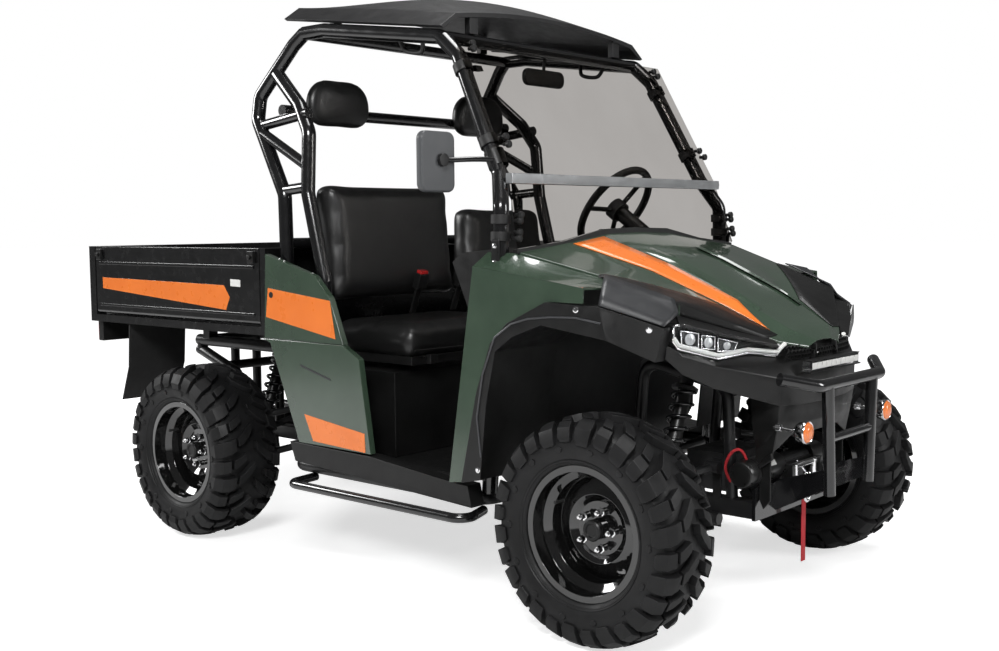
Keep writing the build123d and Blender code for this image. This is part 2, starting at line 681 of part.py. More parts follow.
def headlamps():
    """Long wedge lamp under each cap, running in to the grille, with the black strip along its top."""
    # Stations from the outer end to the inner tip: x, y, low z, high z.
    table = [(152, 530, 838, 898), (218, 418, 812, 870), (262, 320, 822, 852), (302, 225, 822, 834)]
    wires = []
    for x, y, low, high in table:
        ring = [(front(x), y, low), (front(x), y, high), (front(x - 46), y - 6, high), (front(x - 46), y - 6, low)]
        wires.append(Wire.make_polygon([Vector(*p) for p in ring], close=True))
    lamp = Solid.make_loft(wires, ruled=True)
    # Strip sections: inner then outer edge, (x from the front datum, y, z), and the z it is buried down to.
    strip = [((140, 489, 926), (172, 536, 914), 892), ((224, 352, 886), (250, 398, 872), 862),
             ((298, 214, 850), (318, 232, 838), 832)]
    rings = []
    for inner, outer, root in strip:
        ring = [inner, outer, (*outer[:2], outer[2] - 6), (*inner[:2], root)]
        rings.append([(front(x), y, z) for x, y, z in ring])
    stand = block(front(160), front(178), 440, 480, 800 + seat_on, 845)
    return both_sides(joined([lamp, loft_rings(rings), stand]))


grille_half = 150.0


def grille():
    """Grille plate between the lamps, under the bonnet's lip."""
    x = front(322)
    return [block(x - 6, x, -grille_half, grille_half, 800 + seat_on, 822)]


def light_bar():
    x = front(357)
    return [block(x, x + 26, -163, 163, 757, 786)]


# ---- Front bar, winch and lamps ----
bar_x = front(front_overhang - 19.0)
bar_tube = 38.0
bar_half = 206.0
upright_top_y = 150.0
upright_foot_y = 130.0
upright_foot_z = 391.0
winch_x = front(232)
winch_z = 452.0
fairlead_x = front(262)


def bull_bar():
    """Top bar with swept-back ends on two uprights, and the arms and plate that carry them."""
    top = [(front(364), 312, 748), (bar_x, bar_half, 722), (bar_x, -bar_half, 722), (front(364), -312, 748)]
    solids = [tube(top, bar_tube, 45.0)]
    arm = [(front(258), rail_height - 20), (front(258), 414), (bar_x, 470), (bar_x, 412)]
    for s in (-1, 1):
        solids.append(rod((bar_x, s * upright_top_y, 722), (bar_x, s * upright_foot_y, upright_foot_z), 36.0))
        solids.append(side_prism(arm, s * (upright_foot_y - 4), s * (upright_foot_y + 6)))
    solids.append(rod((bar_x, -upright_foot_y, 560), (bar_x, upright_foot_y, 560), 26.0))
    solids.append(block(front(250.3), fairlead_x, -rail_y - 25, rail_y + 25, rail_height - 30, 408))
    return [joined(solids)]


def winch():
    """Drum between motor and gear housing on two feet, the fairlead in front and the hook on its rope."""
    drum = rod((winch_x, -85, winch_z), (winch_x, 85, winch_z), 62.0)
    motor = rod((winch_x, -300, winch_z), (winch_x, -85, winch_z), 84.0)
    gears = rod((winch_x, 85, winch_z), (winch_x, 180, winch_z), 84.0)
    foot_z = rail_height + 21.0 + seat_on
    feet = [block(winch_x - 15, winch_x + 15, s * 92 - 8, s * 92 + 8, foot_z, winch_z) for s in (-1, 1)]
    rope = rod((winch_x, -10, winch_z), (front(304), -10, winch_z - 34), 8.0)
    frame = block(fairlead_x + seat_on, fairlead_x + 14, -100, 100, 372, 462)
    rollers = [rod((fairlead_x + 22, s * 62, 380), (fairlead_x + 22, s * 62, 454), 22.0) for s in (-1, 1)]
    rollers += [rod((fairlead_x + 20, -84, z), (fairlead_x + 20, 84, z), 20.0) for z in (386, 448)]
    hook = block(front(296), front(312), -24, -6, 330, 428)
    return [joined([drum, motor, gears, rope, frame, hook] + feet + rollers)]


def front_indicators():
    solids = []
    for s in (-1, 1):
        stalk = rod((front(298), s * 262, 600), (bar_x - 10, s * 268, 596), 14.0)
        lens = rod((bar_x - 46, s * 268, 596), (bar_x - 4, s * 268, 594), 66.0)
        solids.append(joined([stalk, lens]) - Pos(seat_on, 0, 0) * nose_apron())
    return solids


# ---- Cab sides and floor ----
def plate_pair(points, thickness, outer_y):
    """The same side plate on both sides of the body, from its (x, z) outline."""
    return both_sides(side_prism(points, outer_y - thickness, outer_y))


def rear_quarter_panels():
    outline = [(rear(492), 1096), (rear(757), 1024), (rear(835), 950), (rear(900), 794.3), (rear(478), 794.3)]
    return plate_pair(outline, 24.0, body_y)


def lower_side_panels():
    outline = [(rear(478), 794), (rear(905), 794), (rear(985), 752), (rear(1035), 440), (rear(668), 440), (rear(520), 780)]
    return plate_pair(outline, 24.0, body_y + 8)


def sill_covers():
    outline = [(rear(622), 440), (rear(1034), 434), (front(-532), 400), (front(-462), 398), (front(-446), 330), (rear(650), 372)]
    return plate_pair(outline, 60.0, body_y + 12)


def side_steps():
    y = half_width - 14.0
    z = rail_height - 22.0 - 15.3
    solids = []
    for s in (-1, 1):
        rail = [(rear(650), s * (body_y - 80), z), (rear(670), s * y, z), (front(-430), s * y, z),
                (front(-480), s * (body_y - 80), z)]
        solids.append(tube(rail, 30.0, 45.0))
    return solids


def floor_pan():
    half = body_y + 12 - 60 - seat_on
    gauge = floor_gauge
    base = floor_z + seat_on
    floor = block(rear(630), front(-455), -half, half, base, base + gauge)
    wall_x = -399.7
    toe = [(front(-455), base), (front(-455), base + gauge), (front(wall_x), 520), (front(wall_x), 1010),
           (front(wall_x + gauge), 1010), (front(wall_x + gauge), 516)]
    front_wall = side_prism(toe, -440, 440)
    legs = [rod((x, s * pillar_y, 300), (x, s * pillar_y, 500), cage_tube + 12) for x in (rear(722), front(-452)) for s in (-1, 1)]
    return [cut(joined([floor, front_wall]), legs)]


def seat_box():
    top = 700.0
    base = floor_z + floor_gauge + 2 * seat_on
    wall = 6.0
    x0, x1 = rear(620), rear(1030)
    half = 608.0
    outer = block(x0, x1, -half, half, base, top)
    inner = block(x0 - 1, x1 - wall, -half + wall, half - wall, base - 1, top - wall)
    return [outer - inner]


seat_gap = 22.0
passenger_half = 640.0


def cushion_pair(x_outline, near, far):
    """The wide passenger seat on the right and the driver's seat on the left."""
    return [side_prism(x_outline, *near), side_prism(x_outline, *far)]


def seat_cushions():
    outline = [(rear(655), 700.3), (rear(1060), 700.3), (rear(1105), 740), (rear(1095), 850), (rear(1040), 862), (rear(745), 848), (rear(655), 848)]
    return cushion_pair(outline, (-606, 18), (46, 600))


def seat_backs():
    near = [(rear(657), 848.3), (rear(742), 848.3), (rear(700), 1335), (rear(625), 1335)]
    far = [(rear(657), 848.3), (rear(742), 848.3), (rear(705), 1262), (rear(630), 1262)]
    return [side_prism(near, -606, 18), side_prism(far, 46, 600)]


def headrests():
    solids = []
    for s in (-1, 1):
        pad = block(headrest_bar_x + 10, headrest_bar_x + 78, s * 386 - 166, s * 386 + 166, 1555, 1731)
        collar = block(headrest_bar_x + 21.3, headrest_bar_x + 50, s * 386 - 40, s * 386 + 40, 1590, 1626)
        solids.append(pad - rod((headrest_bar_x, -pillar_y, headrest_bar_z), (headrest_bar_x, pillar_y, headrest_bar_z), 42.6))
    return solids


def dashboard():
    outline = [(front(-640), 1075), (front(-600), 1105), (front(-420), 1122), (front(-400), 1040), (front(-400), 910), (front(-560), 900)]
    sleeve = rod(along_column(150), along_column(283), 56.6)
    return [side_prism(outline, -600, 600) - sleeve]


driver_y = 330.0
wheel_centre = (front(-673), driver_y, 1250.0)
column_lean = math.radians(35.0)


def along_column(distance):
    """A place on the steering column, measured from the wheel's centre towards the dashboard."""
    return (wheel_centre[0] + distance * math.cos(column_lean), driver_y,
            wheel_centre[2] - distance * math.sin(column_lean))


def steering_wheel():
    plane = Plane(origin=wheel_centre, z_dir=(-math.cos(column_lean), 0, math.sin(column_lean)))
    rim_ring = plane * Torus(170, 14)
    hub = rod(along_column(32), along_column(-8), 80.0)
    spokes = []
    for angle in (90, 210, 330):
        a = math.radians(angle)
        tip = plane.from_local_coords((165 * math.cos(a), 165 * math.sin(a), 0))
        spokes.append(rod(along_column(12), tuple(tip), 18.0))
    return [joined([rim_ring, hub] + spokes)]


def steering_column():
    return [rod(along_column(32 + seat_on), along_column(280), 56.0)]


def control_levers():
    lever = rod((rear(1130), 10, floor_z + floor_gauge + 1.1), (rear(1150), 10, 900), 16.0)
    knob = rod((rear(1149), 10, 880), (rear(1152), 10, 950), 44.0)
    return [joined([lever, knob])]


def pedals():
    solids = []
    for y in (250, 400):
        arm = rod((front(-380), y, 690), (front(-480), y, 500), 14.0)
        pad = block(front(-490), front(-478), y - 35, y + 35, 470, 530)
        solids.append(joined([arm, pad]) - block(front(-400), front(-300), y - 50, y + 50, 400, 800))
    return solids


def side_mirror():
    """Right-hand mirror on an arm from a clamp round the pillar."""
    z = 1395.0
    y = -(half_width - 35.0)
    x, pillar, _ = pillar_at(z, -1)
    head = block(front(-570), front(-545), y - 73, y + 73, z - 102, z + 82)
    arm = tube([(x, pillar, z), (x - 10, pillar - 75, z), (front(-552), y, z)], 16.0, 20.0)
    clamp = rod(pillar_at(z - 24, -1), pillar_at(z + 24, -1), cage_tube + 16)
    bore = rod(pillar_at(z - 44, -1), pillar_at(z + 140, -1), cage_tube + 0.6)
    return [cut(joined([head, arm, clamp]), [bore])]


def cabin_mirror():
    x = pillar_line[5][0] + 4
    head = block(x - 30, x - 8, -110, 110, 1680, 1742)
    stem = rod((x - 18, 0, 1730), (x - 18, 0, roof_bar_z + 10), 14.0)
    bar = rod((pillar_line[5][0], -60, roof_bar_z), (pillar_line[5][0], 60, roof_bar_z), cross_tube + 2 * seat_on)
    return [joined([head, stem]) - bar]


def engine_block():
    return [block(rear(215), rear(600), -205, 205, rail_height + 21.3, 640)]


def shock_absorbers():
    """Four coil-overs, each standing on its lower arm's cross-bar and leaning in to the frame."""
    solids = []
    for x, ball_y, top in [(front_axle_x, kingpin_y, (rail_y + tower_tube / 2 + 15 + seat_on, 724.0)),
                           (rear_axle_x, rear_wheel_y - 82.0, (rail_y + 40.3, rear_rail_z))]:
        share = (shock_foot_y - pivot_y) / (ball_y - pivot_y)
        bar_z = rail_height - 35 + share * (lower_ball_z - rail_height + 35)
        low = (x + shock_x, shock_foot_y, bar_z + 12 + 15.3)
        high = (x + shock_x, *top)
        body = rod(low, high, 44.0)
        trimmed = body - block(x, x + 80, 0, 900, 0, low[2] - 14.9)
        eyes = [rod((px - 12, py, pz), (px + 12, py, pz), 30.0) for px, py, pz in (low, high)]
        trimmed = trimmed - block(x, x + 80, 0, top[0] - 15, top[1] - 120, top[1] + 60)
        solids += both_sides(joined([trimmed] + eyes))
    return solids


def driveline():
    """Front and rear final drives with their half shafts, and the shafts that join them to the engine."""
    units = []
    for axle in (front_axle_x, rear_axle_x):
        case = block(axle - 70, axle + 90, -110, 110, diff_z - 62, diff_z + 58)
        shafts = [rod((axle - 15, s * 100, diff_z), (axle - 15, s * (kingpin_y - 40), axle_z + 2), 26.0) for s in (-1, 1)]
        units.append(joined([case] + shafts))
    prop = rod((rear(600.3), 0, diff_z - 25), (front(-65), 0, diff_z - 25), 34.0)
    short = rod((rear(85), 0, diff_z - 25), (rear(214.7), 0, diff_z - 25), 50.0)
    return [units[0] + prop, units[1] + short]


# ---- Bed ----
def bed_tub():
    """Floor, front wall and rear corner posts, with two runners under the floor."""
    floor_bottom = bed_floor_top - 30.0
    solids = [block(bed_rear_x, bed_front_x, -bed_half, bed_half, floor_bottom, bed_floor_top)]
    solids.append(block(bed_front_x - bed_wall, bed_front_x, -bed_half, bed_half, bed_floor_top, bed_wall_top))
    for s in (-1, 1):
        y0, y1 = s * (bed_half - post), s * bed_half
        solids.append(block(bed_rear_x, bed_rear_x + post, y0, y1, bed_floor_top, bed_wall_top))
        y = s * (bed_half - bed_wall / 2)
        ends = [(bed_rear_x + post - 5, 30), (bed_front_x - bed_wall + 5, -30)]
        solids += [rod((x, y, gate_axis_z), (x + d, y, gate_axis_z), gate_pin) for x, d in ends]
        x = bed_rear_x + bed_wall / 2
        solids.append(rod((x, s * (bed_half - 5), gate_axis_z), (x, s * (bed_half - post - 26), gate_axis_z), gate_pin))
        solids.append(block(bed_hinge_x - 40, bed_front_x - 40, s * 170 - 20, s * 170 + 20, bed_hinge_z - 22, floor_bottom))
    for s in (-1, 1):
        lug_y = strut_y + s * 17.5
        near, far = min(lug_y, lug_y + s * 6), max(lug_y, lug_y + s * 6)
        solids.append(block(strut_eye[0] - 16, strut_eye[0] + 16, near, far, strut_eye[2] - 14, floor_bottom))
    pin = ((strut_eye[0], strut_y - 20, strut_eye[2]), (strut_eye[0], strut_y + 20, strut_eye[2]))
    solids.append(rod(*pin, strut_pin))
    bore = rod((bed_hinge_x, -300, bed_hinge_z), (bed_hinge_x, 300, bed_hinge_z), 22.6)
    return [cut(joined(solids), [bore])]


gate_axis_z = bed_floor_top + 21.0
gate_pin = 12.0


def side_gate(s):
    """Drop side: rounded foot turning on a pin at each end."""
    x0, x1 = bed_rear_x + post + clearance, bed_front_x - bed_wall - clearance
    y = s * (bed_half - bed_wall / 2)
    board = block(x0, x1, y - bed_wall / 2, y + bed_wall / 2, gate_axis_z, bed_wall_top)
    foot = rod((x0, y, gate_axis_z), (x1, y, gate_axis_z), bed_wall)
    bores = [rod((x, y, gate_axis_z), (x + d, y, gate_axis_z), gate_pin + 0.4) for x, d in ((x0, 22), (x1, -22))]
    return [cut(joined([board, foot]), bores)]


def tailgate():
    half = bed_half - post - clearance
    x = bed_rear_x + bed_wall / 2
    board = block(x - bed_wall / 2, x + bed_wall / 2, -half, half, gate_axis_z, bed_wall_top)
    foot = rod((x, -half, gate_axis_z), (x, half, gate_axis_z), bed_wall)
    latch = block(bed_rear_x - 28, bed_rear_x + 1, -60, 60, 1040, 1080)
    bores = [rod((x, s * half, gate_axis_z), (x, s * (half - 22), gate_axis_z), gate_pin + 0.4) for s in (-1, 1)]
    return [cut(joined([board, foot, latch]), bores)]


def mud_flaps():
    outline = [(bed_rear_x + 270, 800), (bed_rear_x + 276, 800), (bed_rear_x + 262, 620), (bed_rear_x + 206, 478),
               (bed_rear_x + 200, 480), (bed_rear_x + 256, 620)]
    return both_sides(side_prism(outline, 420.0, body_y - 30))


def tail_lamps():
    return both_sides(block(bed_rear_x + 20, bed_rear_x + 60, 540, 680, 720, 799.7))


strut_bore = 46.0
strut_rod_size = 20.0


def strut_along(distance):
    direction = Vector(*strut_eye) - Vector(*strut_foot)
    return tuple(Vector(*strut_foot) + direction.normalized() * distance)


strut_length = (Vector(*strut_eye) - Vector(*strut_foot)).length


def strut_cylinder():
    neck = rod(strut_along(0), strut_along(50), 26.0)
    body = rod(strut_along(44), strut_along(strut_length - 32), strut_bore)
    hole = rod(strut_along(60), strut_along(strut_length), strut_rod_size + 1.0)
    eye = rod((strut_foot[0], strut_y - 16, strut_foot[2]), (strut_foot[0], strut_y + 16, strut_foot[2]), 32.0)
    pin_bore = rod((strut_foot[0], 90, strut_foot[2]), (strut_foot[0], 150, strut_foot[2]), strut_pin + 0.1)
    return [cut(joined([body, neck, eye]), [hole, pin_bore])]


def strut_rod():
    bar = rod(strut_along(62), strut_along(strut_length - 12), strut_rod_size)
    ends = [(strut_eye[0], strut_y + d, strut_eye[2]) for d in (-14, 14, -20, 20)]
    return [joined([bar, rod(ends[0], ends[1], 32.0)]) - rod(ends[2], ends[3], strut_pin + 7)]


def hook_strap():
    """Flat pull strap hanging beside the winch hook."""
    x = front(304)
    return [block(x - 1.5, x + 1.5, -50, -24 - seat_on, 150, 345)]


# ---- Every piece, by the name of its node ----
pieces = {
    "chassis_frame": chassis_frame,
    "rear_subframe": rear_subframe,
    "front_tower": front_tower,
    "roll_cage": roll_cage,
    "roof_panel": roof_panel,
    "windscreen": windscreen,
    "windscreen_fittings": windscreen_fittings,
    "hood": hood,
    "front_fenders": front_fenders,
    "fender_caps": fender_caps,
    "front_wheel_arches": front_wheel_arches,
    "nose_fascia": nose_fascia,
    "headlamps": headlamps,
    "grille": grille,
    "light_bar": light_bar,
    "bull_bar": bull_bar,
    "winch": winch,
    "hook_strap": hook_strap,
    "front_indicators": front_indicators,
    "rear_quarter_panels": rear_quarter_panels,
    "lower_side_panels": lower_side_panels,
    "sill_covers": sill_covers,
    "side_steps": side_steps,
    "floor_pan": floor_pan,
    "seat_box": seat_box,
    "seat_cushions": seat_cushions,
    "seat_backs": seat_backs,
    "headrests": headrests,
    "dashboard": dashboard,
    "steering_wheel": steering_wheel,
    "steering_column": steering_column,
    "control_levers": control_levers,
    "pedals": pedals,
    "side_mirror": side_mirror,
    "cabin_mirror": cabin_mirror,
    "engine_block": engine_block,
    "front_suspension": front_suspension,
    "rear_suspension": rear_suspension,
    "shock_absorbers": shock_absorbers,
    "driveline": driveline,
    "steering_rack": steering_rack,
    "left_knuckle": lambda: [knuckle(1)],
    "right_knuckle": lambda: [knuckle(-1)],
    "bed_tub": bed_tub,
    "left_side_gate": lambda: side_gate(1),
    "right_side_gate": lambda: side_gate(-1),
    "tailgate": tailgate,
    "mud_flaps": mud_flaps,
    "tail_lamps": tail_lamps,
    "strut_cylinder": strut_cylinder,
    "strut_rod": strut_rod,
}
for end, x, width in [("front", front_axle_x, front_tyre_width), ("rear", rear_axle_x, rear_tyre_width)]:
    for hand, side in [("left", 1), ("right", -1)]:
        pieces[f"{end}_{hand}_tyre"] = lambda x=x, side=side, width=width: [tyre(x, side, width)]
        pieces[f"{end}_{hand}_rim"] = lambda x=x, side=side, width=width: [rim(x, side, width)]

os.makedirs("parts", exist_ok=True)
for name, build in pieces.items():
    solids = []
    for shape in build():
        solids += shape.solids()
    export_step(Compound(children=solids), f"parts/{name}.step")
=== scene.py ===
"""Side-by-side utility vehicle: finishes, tread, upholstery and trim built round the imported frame."""
import json
import math

import bmesh
import bpy
from mathutils import Matrix, Vector
from mathutils.bvhtree import BVHTree


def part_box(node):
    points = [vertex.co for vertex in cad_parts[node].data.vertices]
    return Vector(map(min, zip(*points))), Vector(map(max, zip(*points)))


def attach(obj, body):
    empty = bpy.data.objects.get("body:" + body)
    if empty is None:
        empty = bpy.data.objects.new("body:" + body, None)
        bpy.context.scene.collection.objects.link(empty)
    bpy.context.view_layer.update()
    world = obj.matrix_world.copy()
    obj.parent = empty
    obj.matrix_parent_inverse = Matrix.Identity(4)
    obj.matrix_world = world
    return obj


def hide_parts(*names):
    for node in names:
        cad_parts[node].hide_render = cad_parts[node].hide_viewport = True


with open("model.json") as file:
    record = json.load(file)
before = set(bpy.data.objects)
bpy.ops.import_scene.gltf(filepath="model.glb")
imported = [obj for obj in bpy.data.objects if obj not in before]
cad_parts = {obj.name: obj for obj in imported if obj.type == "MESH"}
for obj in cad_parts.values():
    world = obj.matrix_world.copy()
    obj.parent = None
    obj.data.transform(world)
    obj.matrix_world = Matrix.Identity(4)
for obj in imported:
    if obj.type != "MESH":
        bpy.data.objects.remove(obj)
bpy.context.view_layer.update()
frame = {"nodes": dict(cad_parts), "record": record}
nodes = frame["nodes"]

# Main places and sizes, in metres.
front_axle = 1.1175
rear_axle = -0.8175
axle_height = 0.330
half_track = 0.790
side_of = {"left": 1, "right": -1}
sides = (("right", -1), ("left", 1))
camera_place = (3.13, -3.398, 1.198)
sensor_width = 36.0
focal_length_in_widths = 1205.875 / 999
patch_scale = 9.0
pad_swell_cap = 0.012


def mm(*points):
    """Points given in thousandths (millimetres), as tuples in whole units (metres)."""
    return [tuple(value / 1000 for value in point) for point in points]


def between(first, second, share):
    """The point part of the way from one to another."""
    return tuple(a + share * (b - a) for a, b in zip(first, second))


# ---- Camera, floor and lights ----
def place_camera():
    """The main view, of the front right corner from about head height."""
    azimuth, elevation, roll = math.radians(41.26), math.radians(4.851), math.radians(-0.464)
    level = math.cos(elevation)
    back = Vector((math.sin(azimuth) * level, -math.cos(azimuth) * level, math.sin(elevation)))
    right = Vector((math.cos(azimuth), math.sin(azimuth), 0))
    up = back.cross(right)
    right_rolled = math.cos(roll) * right + math.sin(roll) * up
    up_rolled = math.cos(roll) * up - math.sin(roll) * right
    data = bpy.data.cameras.new("camera")
    data.sensor_width = sensor_width
    data.lens = focal_length_in_widths * sensor_width
    camera = bpy.data.objects.new("camera", data)
    bpy.context.scene.collection.objects.link(camera)
    turn = Matrix((right_rolled, up_rolled, back)).transposed().to_4x4()
    camera.matrix_world = Matrix.Translation(camera_place) @ turn
    bpy.context.scene.camera = camera


def linked(name, bm):
    """Turns a bmesh in to an object in the scene, and frees it."""
    mesh = bpy.data.meshes.new(name)
    bm.to_mesh(mesh)
    bm.free()
    made = bpy.data.objects.new(name, mesh)
    bpy.context.scene.collection.objects.link(made)
    return made


def softbox(name, place, aim, size, power):
    data = bpy.data.lights.new(name, "AREA")
    data.shape = "RECTANGLE"
    data.size, data.size_y = size
    data.energy = power
    lamp = bpy.data.objects.new(name, data)
    bpy.context.scene.collection.objects.link(lamp)
    lamp.location = place
    lamp.rotation_euler = (Vector(aim) - Vector(place)).to_track_quat("-Z", "Y").to_euler()


def studio():
    """Pale floor, white surroundings for the eye and four soft lamps."""
    bm = bmesh.new()
    bmesh.ops.create_grid(bm, x_segments=1, y_segments=1, size=60)
    floor = linked("studio_floor", bm)
    paint = Finish("studio_paint")
    paint.set(Base_Color=(0.80, 0.80, 0.80, 1), Roughness=0.9, Specular_IOR_Level=0.0, Emission_Color=(1, 1, 1, 1))
    reach = paint.add("ShaderNodeVectorMath", operation="LENGTH")
    paint.join(paint.place, reach.inputs[0])
    fade = paint.spread(reach.outputs["Value"], 0.66, 1.0, 1.5, 4.0, interpolation_type="SMOOTHSTEP")
    sight = paint.add("ShaderNodeLightPath").outputs["Is Camera Ray"]
    paint.join(paint.math("MULTIPLY", sight, fade), paint.shader.inputs["Emission Strength"])
    floor.data.materials.append(paint.material)
    world = bpy.data.worlds.new("studio_world")
    bpy.context.scene.world = world
    world.use_nodes = True
    tree = world.node_tree
    back = tree.nodes["Background"]
    path = tree.nodes.new("ShaderNodeLightPath")
    seen = tree.nodes.new("ShaderNodeMath")
    seen.operation = "MAXIMUM"
    strength = tree.nodes.new("ShaderNodeMapRange")
    strength.inputs["To Min"].default_value = 0.11
    strength.inputs["To Max"].default_value = 1.0
    for source, target in ((path.outputs["Is Camera Ray"], seen.inputs[0]),
                           (path.outputs["Is Transmission Ray"], seen.inputs[1]),
                           (seen.outputs[0], strength.inputs["Value"]),
                           (strength.outputs["Result"], back.inputs["Strength"])):
        tree.links.new(source, target)
    back.inputs["Color"].default_value = (1, 1, 1, 1)
    softbox("key_lamp", (3.4, -4.8, 4.4), (0.2, 0, 0.6), (2.2, 1.4), 330)
    softbox("fill_lamp", (5.6, 1.8, 2.4), (0.4, 0, 0.7), (1.2, 2.0), 110)
    softbox("back_lamp", (-4.4, -2.8, 3.0), (-0.5, 0, 0.8), (1.6, 1.4), 150)
    softbox("top_lamp", (0.2, 0.2, 5.4), (0.0, 0, 0.0), (3.4, 1.6), 170)
    bpy.context.scene.view_settings.view_transform = "Standard"


# ---- Finishes ----
class Finish:
    """One material under construction: short calls that add and join its nodes."""

    def __init__(self, name):
        self.material = bpy.data.materials.new(name)
        self.material.use_nodes = True
        self.tree = self.material.node_tree
        self.shader = self.tree.nodes["Principled BSDF"]
        self.place = self.add("ShaderNodeTexCoord").outputs["Object"]

    def add(self, kind, **settings):
        node = self.tree.nodes.new(kind)
        for key, value in settings.items():
            setattr(node, key, value)
        return node

    def join(self, source, target):
        self.tree.links.new(source, target)

    def set(self, **values):
        for key, value in values.items():
            self.shader.inputs[key.replace("_", " ")].default_value = value

    def noise(self, scale, detail=4.0):
        node = self.add("ShaderNodeTexNoise")
        for name, value in (("Scale", scale), ("Detail", detail), ("Roughness", 0.55)):
            node.inputs[name].default_value = value
        self.join(self.place, node.inputs["Vector"])
        return node.outputs["Fac"]

    def spread(self, source, low, high, start=0.3, stop=0.7, **settings):
        node = self.add("ShaderNodeMapRange", **settings)
        for name, value in (("From Min", start), ("From Max", stop), ("To Min", low), ("To Max", high)):
            node.inputs[name].default_value = value
        self.join(source, node.inputs["Value"])
        return node.outputs["Result"]

    def math(self, operation, first, second):
        node = self.add("ShaderNodeMath", operation=operation)
        self.join(first, node.inputs[0])
        self.join(second, node.inputs[1])
        return node.outputs[0]

    def blend(self, amount, first, second):
        """Mixes two colours by amount; 6, 7 and 2 are the node's colour sockets."""
        node = self.add("ShaderNodeMix", data_type="RGBA")
        self.join(amount, node.inputs["Factor"])
        node.inputs[6].default_value = (*first, 1)
        node.inputs[7].default_value = (*second, 1)
        return node.outputs[2]

    def colour(self, source):
        self.join(source, self.shader.inputs["Base Color"])

    def rough(self, source):
        self.join(source, self.shader.inputs["Roughness"])

    def bump(self, source, strength):
        node = self.add("ShaderNodeBump")
        node.inputs["Strength"].default_value = strength
        node.inputs["Distance"].default_value = 0.001
        self.join(source, node.inputs["Height"])
        self.join(node.outputs["Normal"], self.shader.inputs["Normal"])


def mottled(name, dark, light, low, high, grain, grain_strength, metal=0.0, coat=0.0, shine=None):
    """A finish whose colour and gloss drift a little, with a fine surface grain."""
    finish = Finish(name)
    finish.colour(finish.blend(finish.spread(finish.noise(patch_scale), 0, 1), dark, light))
    finish.rough(finish.spread(finish.noise(patch_scale * 3), low, high))
    finish.bump(finish.noise(grain, 3.0), grain_strength)
    finish.set(Metallic=metal, Coat_Weight=coat, Coat_Roughness=0.04)
    if shine is not None:
        finish.set(Specular_IOR_Level=shine)
    return finish


# Slot, material name, dark and light colours in thousandths, roughness from and to, grain scale and strength,
# then extras.
finish_table = [
    ("frame_paint", "satin_frame_paint", (6, 6, 6.5), (12, 12, 12.5), 0.3, 0.42, 260, 0.12),
    ("cage_paint", "gloss_cage_paint", (4, 4, 4.5), (8, 8, 8.5), 0.16, 0.24, 180, 0.05, {"coat": 0.6}),
    ("roof_plastic", "roof_moulding", (8, 8, 8.5), (13, 13, 13.5), 0.36, 0.46, 420, 0.15),
    ("green_paint", "green_moulding", (31, 52, 34), (39, 64, 42), 0.2, 0.27, 320, 0.02, {"coat": 0.9}),
    ("grey_plastic", "grey_moulding", (34, 35, 38), (48, 49, 53), 0.3, 0.4, 480, 0.12),
    ("black_plastic", "black_moulding", (4, 4, 4), (7.5, 7.5, 7.5), 0.34, 0.48, 520, 0.2, {"shine": 0.38}),
    ("black_metal", "black_metalwork", (6, 6, 6), (10, 10, 10), 0.26, 0.38, 260, 0.1),
    ("seal_rubber", "seal_rubber_black", (6, 6, 6), (10, 10, 10), 0.5, 0.62, 600, 0.15),
    ("black_rubber", "soft_black_rubber", (12, 12, 12), (20, 20, 20), 0.5, 0.65, 500, 0.2),
    ("bed_paint", "bed_coat", (3, 3, 3.2), (6, 6, 6.3), 0.2, 0.3, 420, 0.12, {"coat": 0.35}),
    ("rim_paint", "rim_enamel", (4, 4, 4), (7, 7, 7), 0.05, 0.1, 160, 0.02, {"coat": 1.0}),
    ("cast_metal", "dark_casting", (20, 20, 21), (45, 45, 46), 0.45, 0.65, 220, 0.5, {"metal": 0.4}),
    ("steel", "plain_steel", (420, 420, 430), (520, 520, 530), 0.28, 0.4, 300, 0.1, {"metal": 1.0}),
    ("chrome_rod", "polished_rod", (780, 780, 790), (840, 840, 850), 0.06, 0.1, 200, 0.02, {"metal": 1.0}),
    ("amber_lens", "amber_moulding", (720, 170, 35), (800, 220, 50), 0.12, 0.2, 160, 0.05, {"coat": 0.6}),
    ("red_lens", "red_moulding", (360, 12, 12), (440, 18, 18), 0.12, 0.2, 160, 0.05, {"coat": 0.6}),
    ("red_webbing", "red_webbing_weave", (300, 8, 14), (420, 14, 20), 0.7, 0.85, 900, 0.5),
    ("tyre_rubber", "tyre_compound", (6, 6, 6.2), (11, 11, 11.5), 0.42, 0.58, 240, 0.3, {"shine": 0.25}),
    ("black_vinyl", "vinyl_hide", (5, 5, 5), (9, 9, 9), 0.34, 0.44, 900, 0.12),
    ("orange_film", "orange_decal", (720, 165, 22), (780, 190, 28), 0.25, 0.34, 300, 0.03, {"coat": 0.4}),
    ("satin_grey", "satin_grey_trim", (20, 21, 23), (30, 31, 33), 0.32, 0.44, 420, 0.12),
    ("bright_chrome", "bright_chrome", (800, 800, 810), (880, 880, 890), 0.05, 0.1, 200, 0.02, {"metal": 1.0}),
    ("pale_label", "pale_label", (620, 620, 600), (720, 720, 700), 0.45, 0.6, 300, 0.03),
    ("mirror_grey", "mirror_grey", (55, 58, 62), (75, 78, 82), 0.4, 0.5, 500, 0.15),
    ("brushed_bar", "brushed_bar", (420, 430, 440), (520, 530, 540), 0.3, 0.42, 300, 0.05, {"metal": 0.8}),
    ("brass", "yellow_brass", (420, 270, 70), (500, 330, 100), 0.25, 0.4, 260, 0.1, {"metal": 1.0}),
]


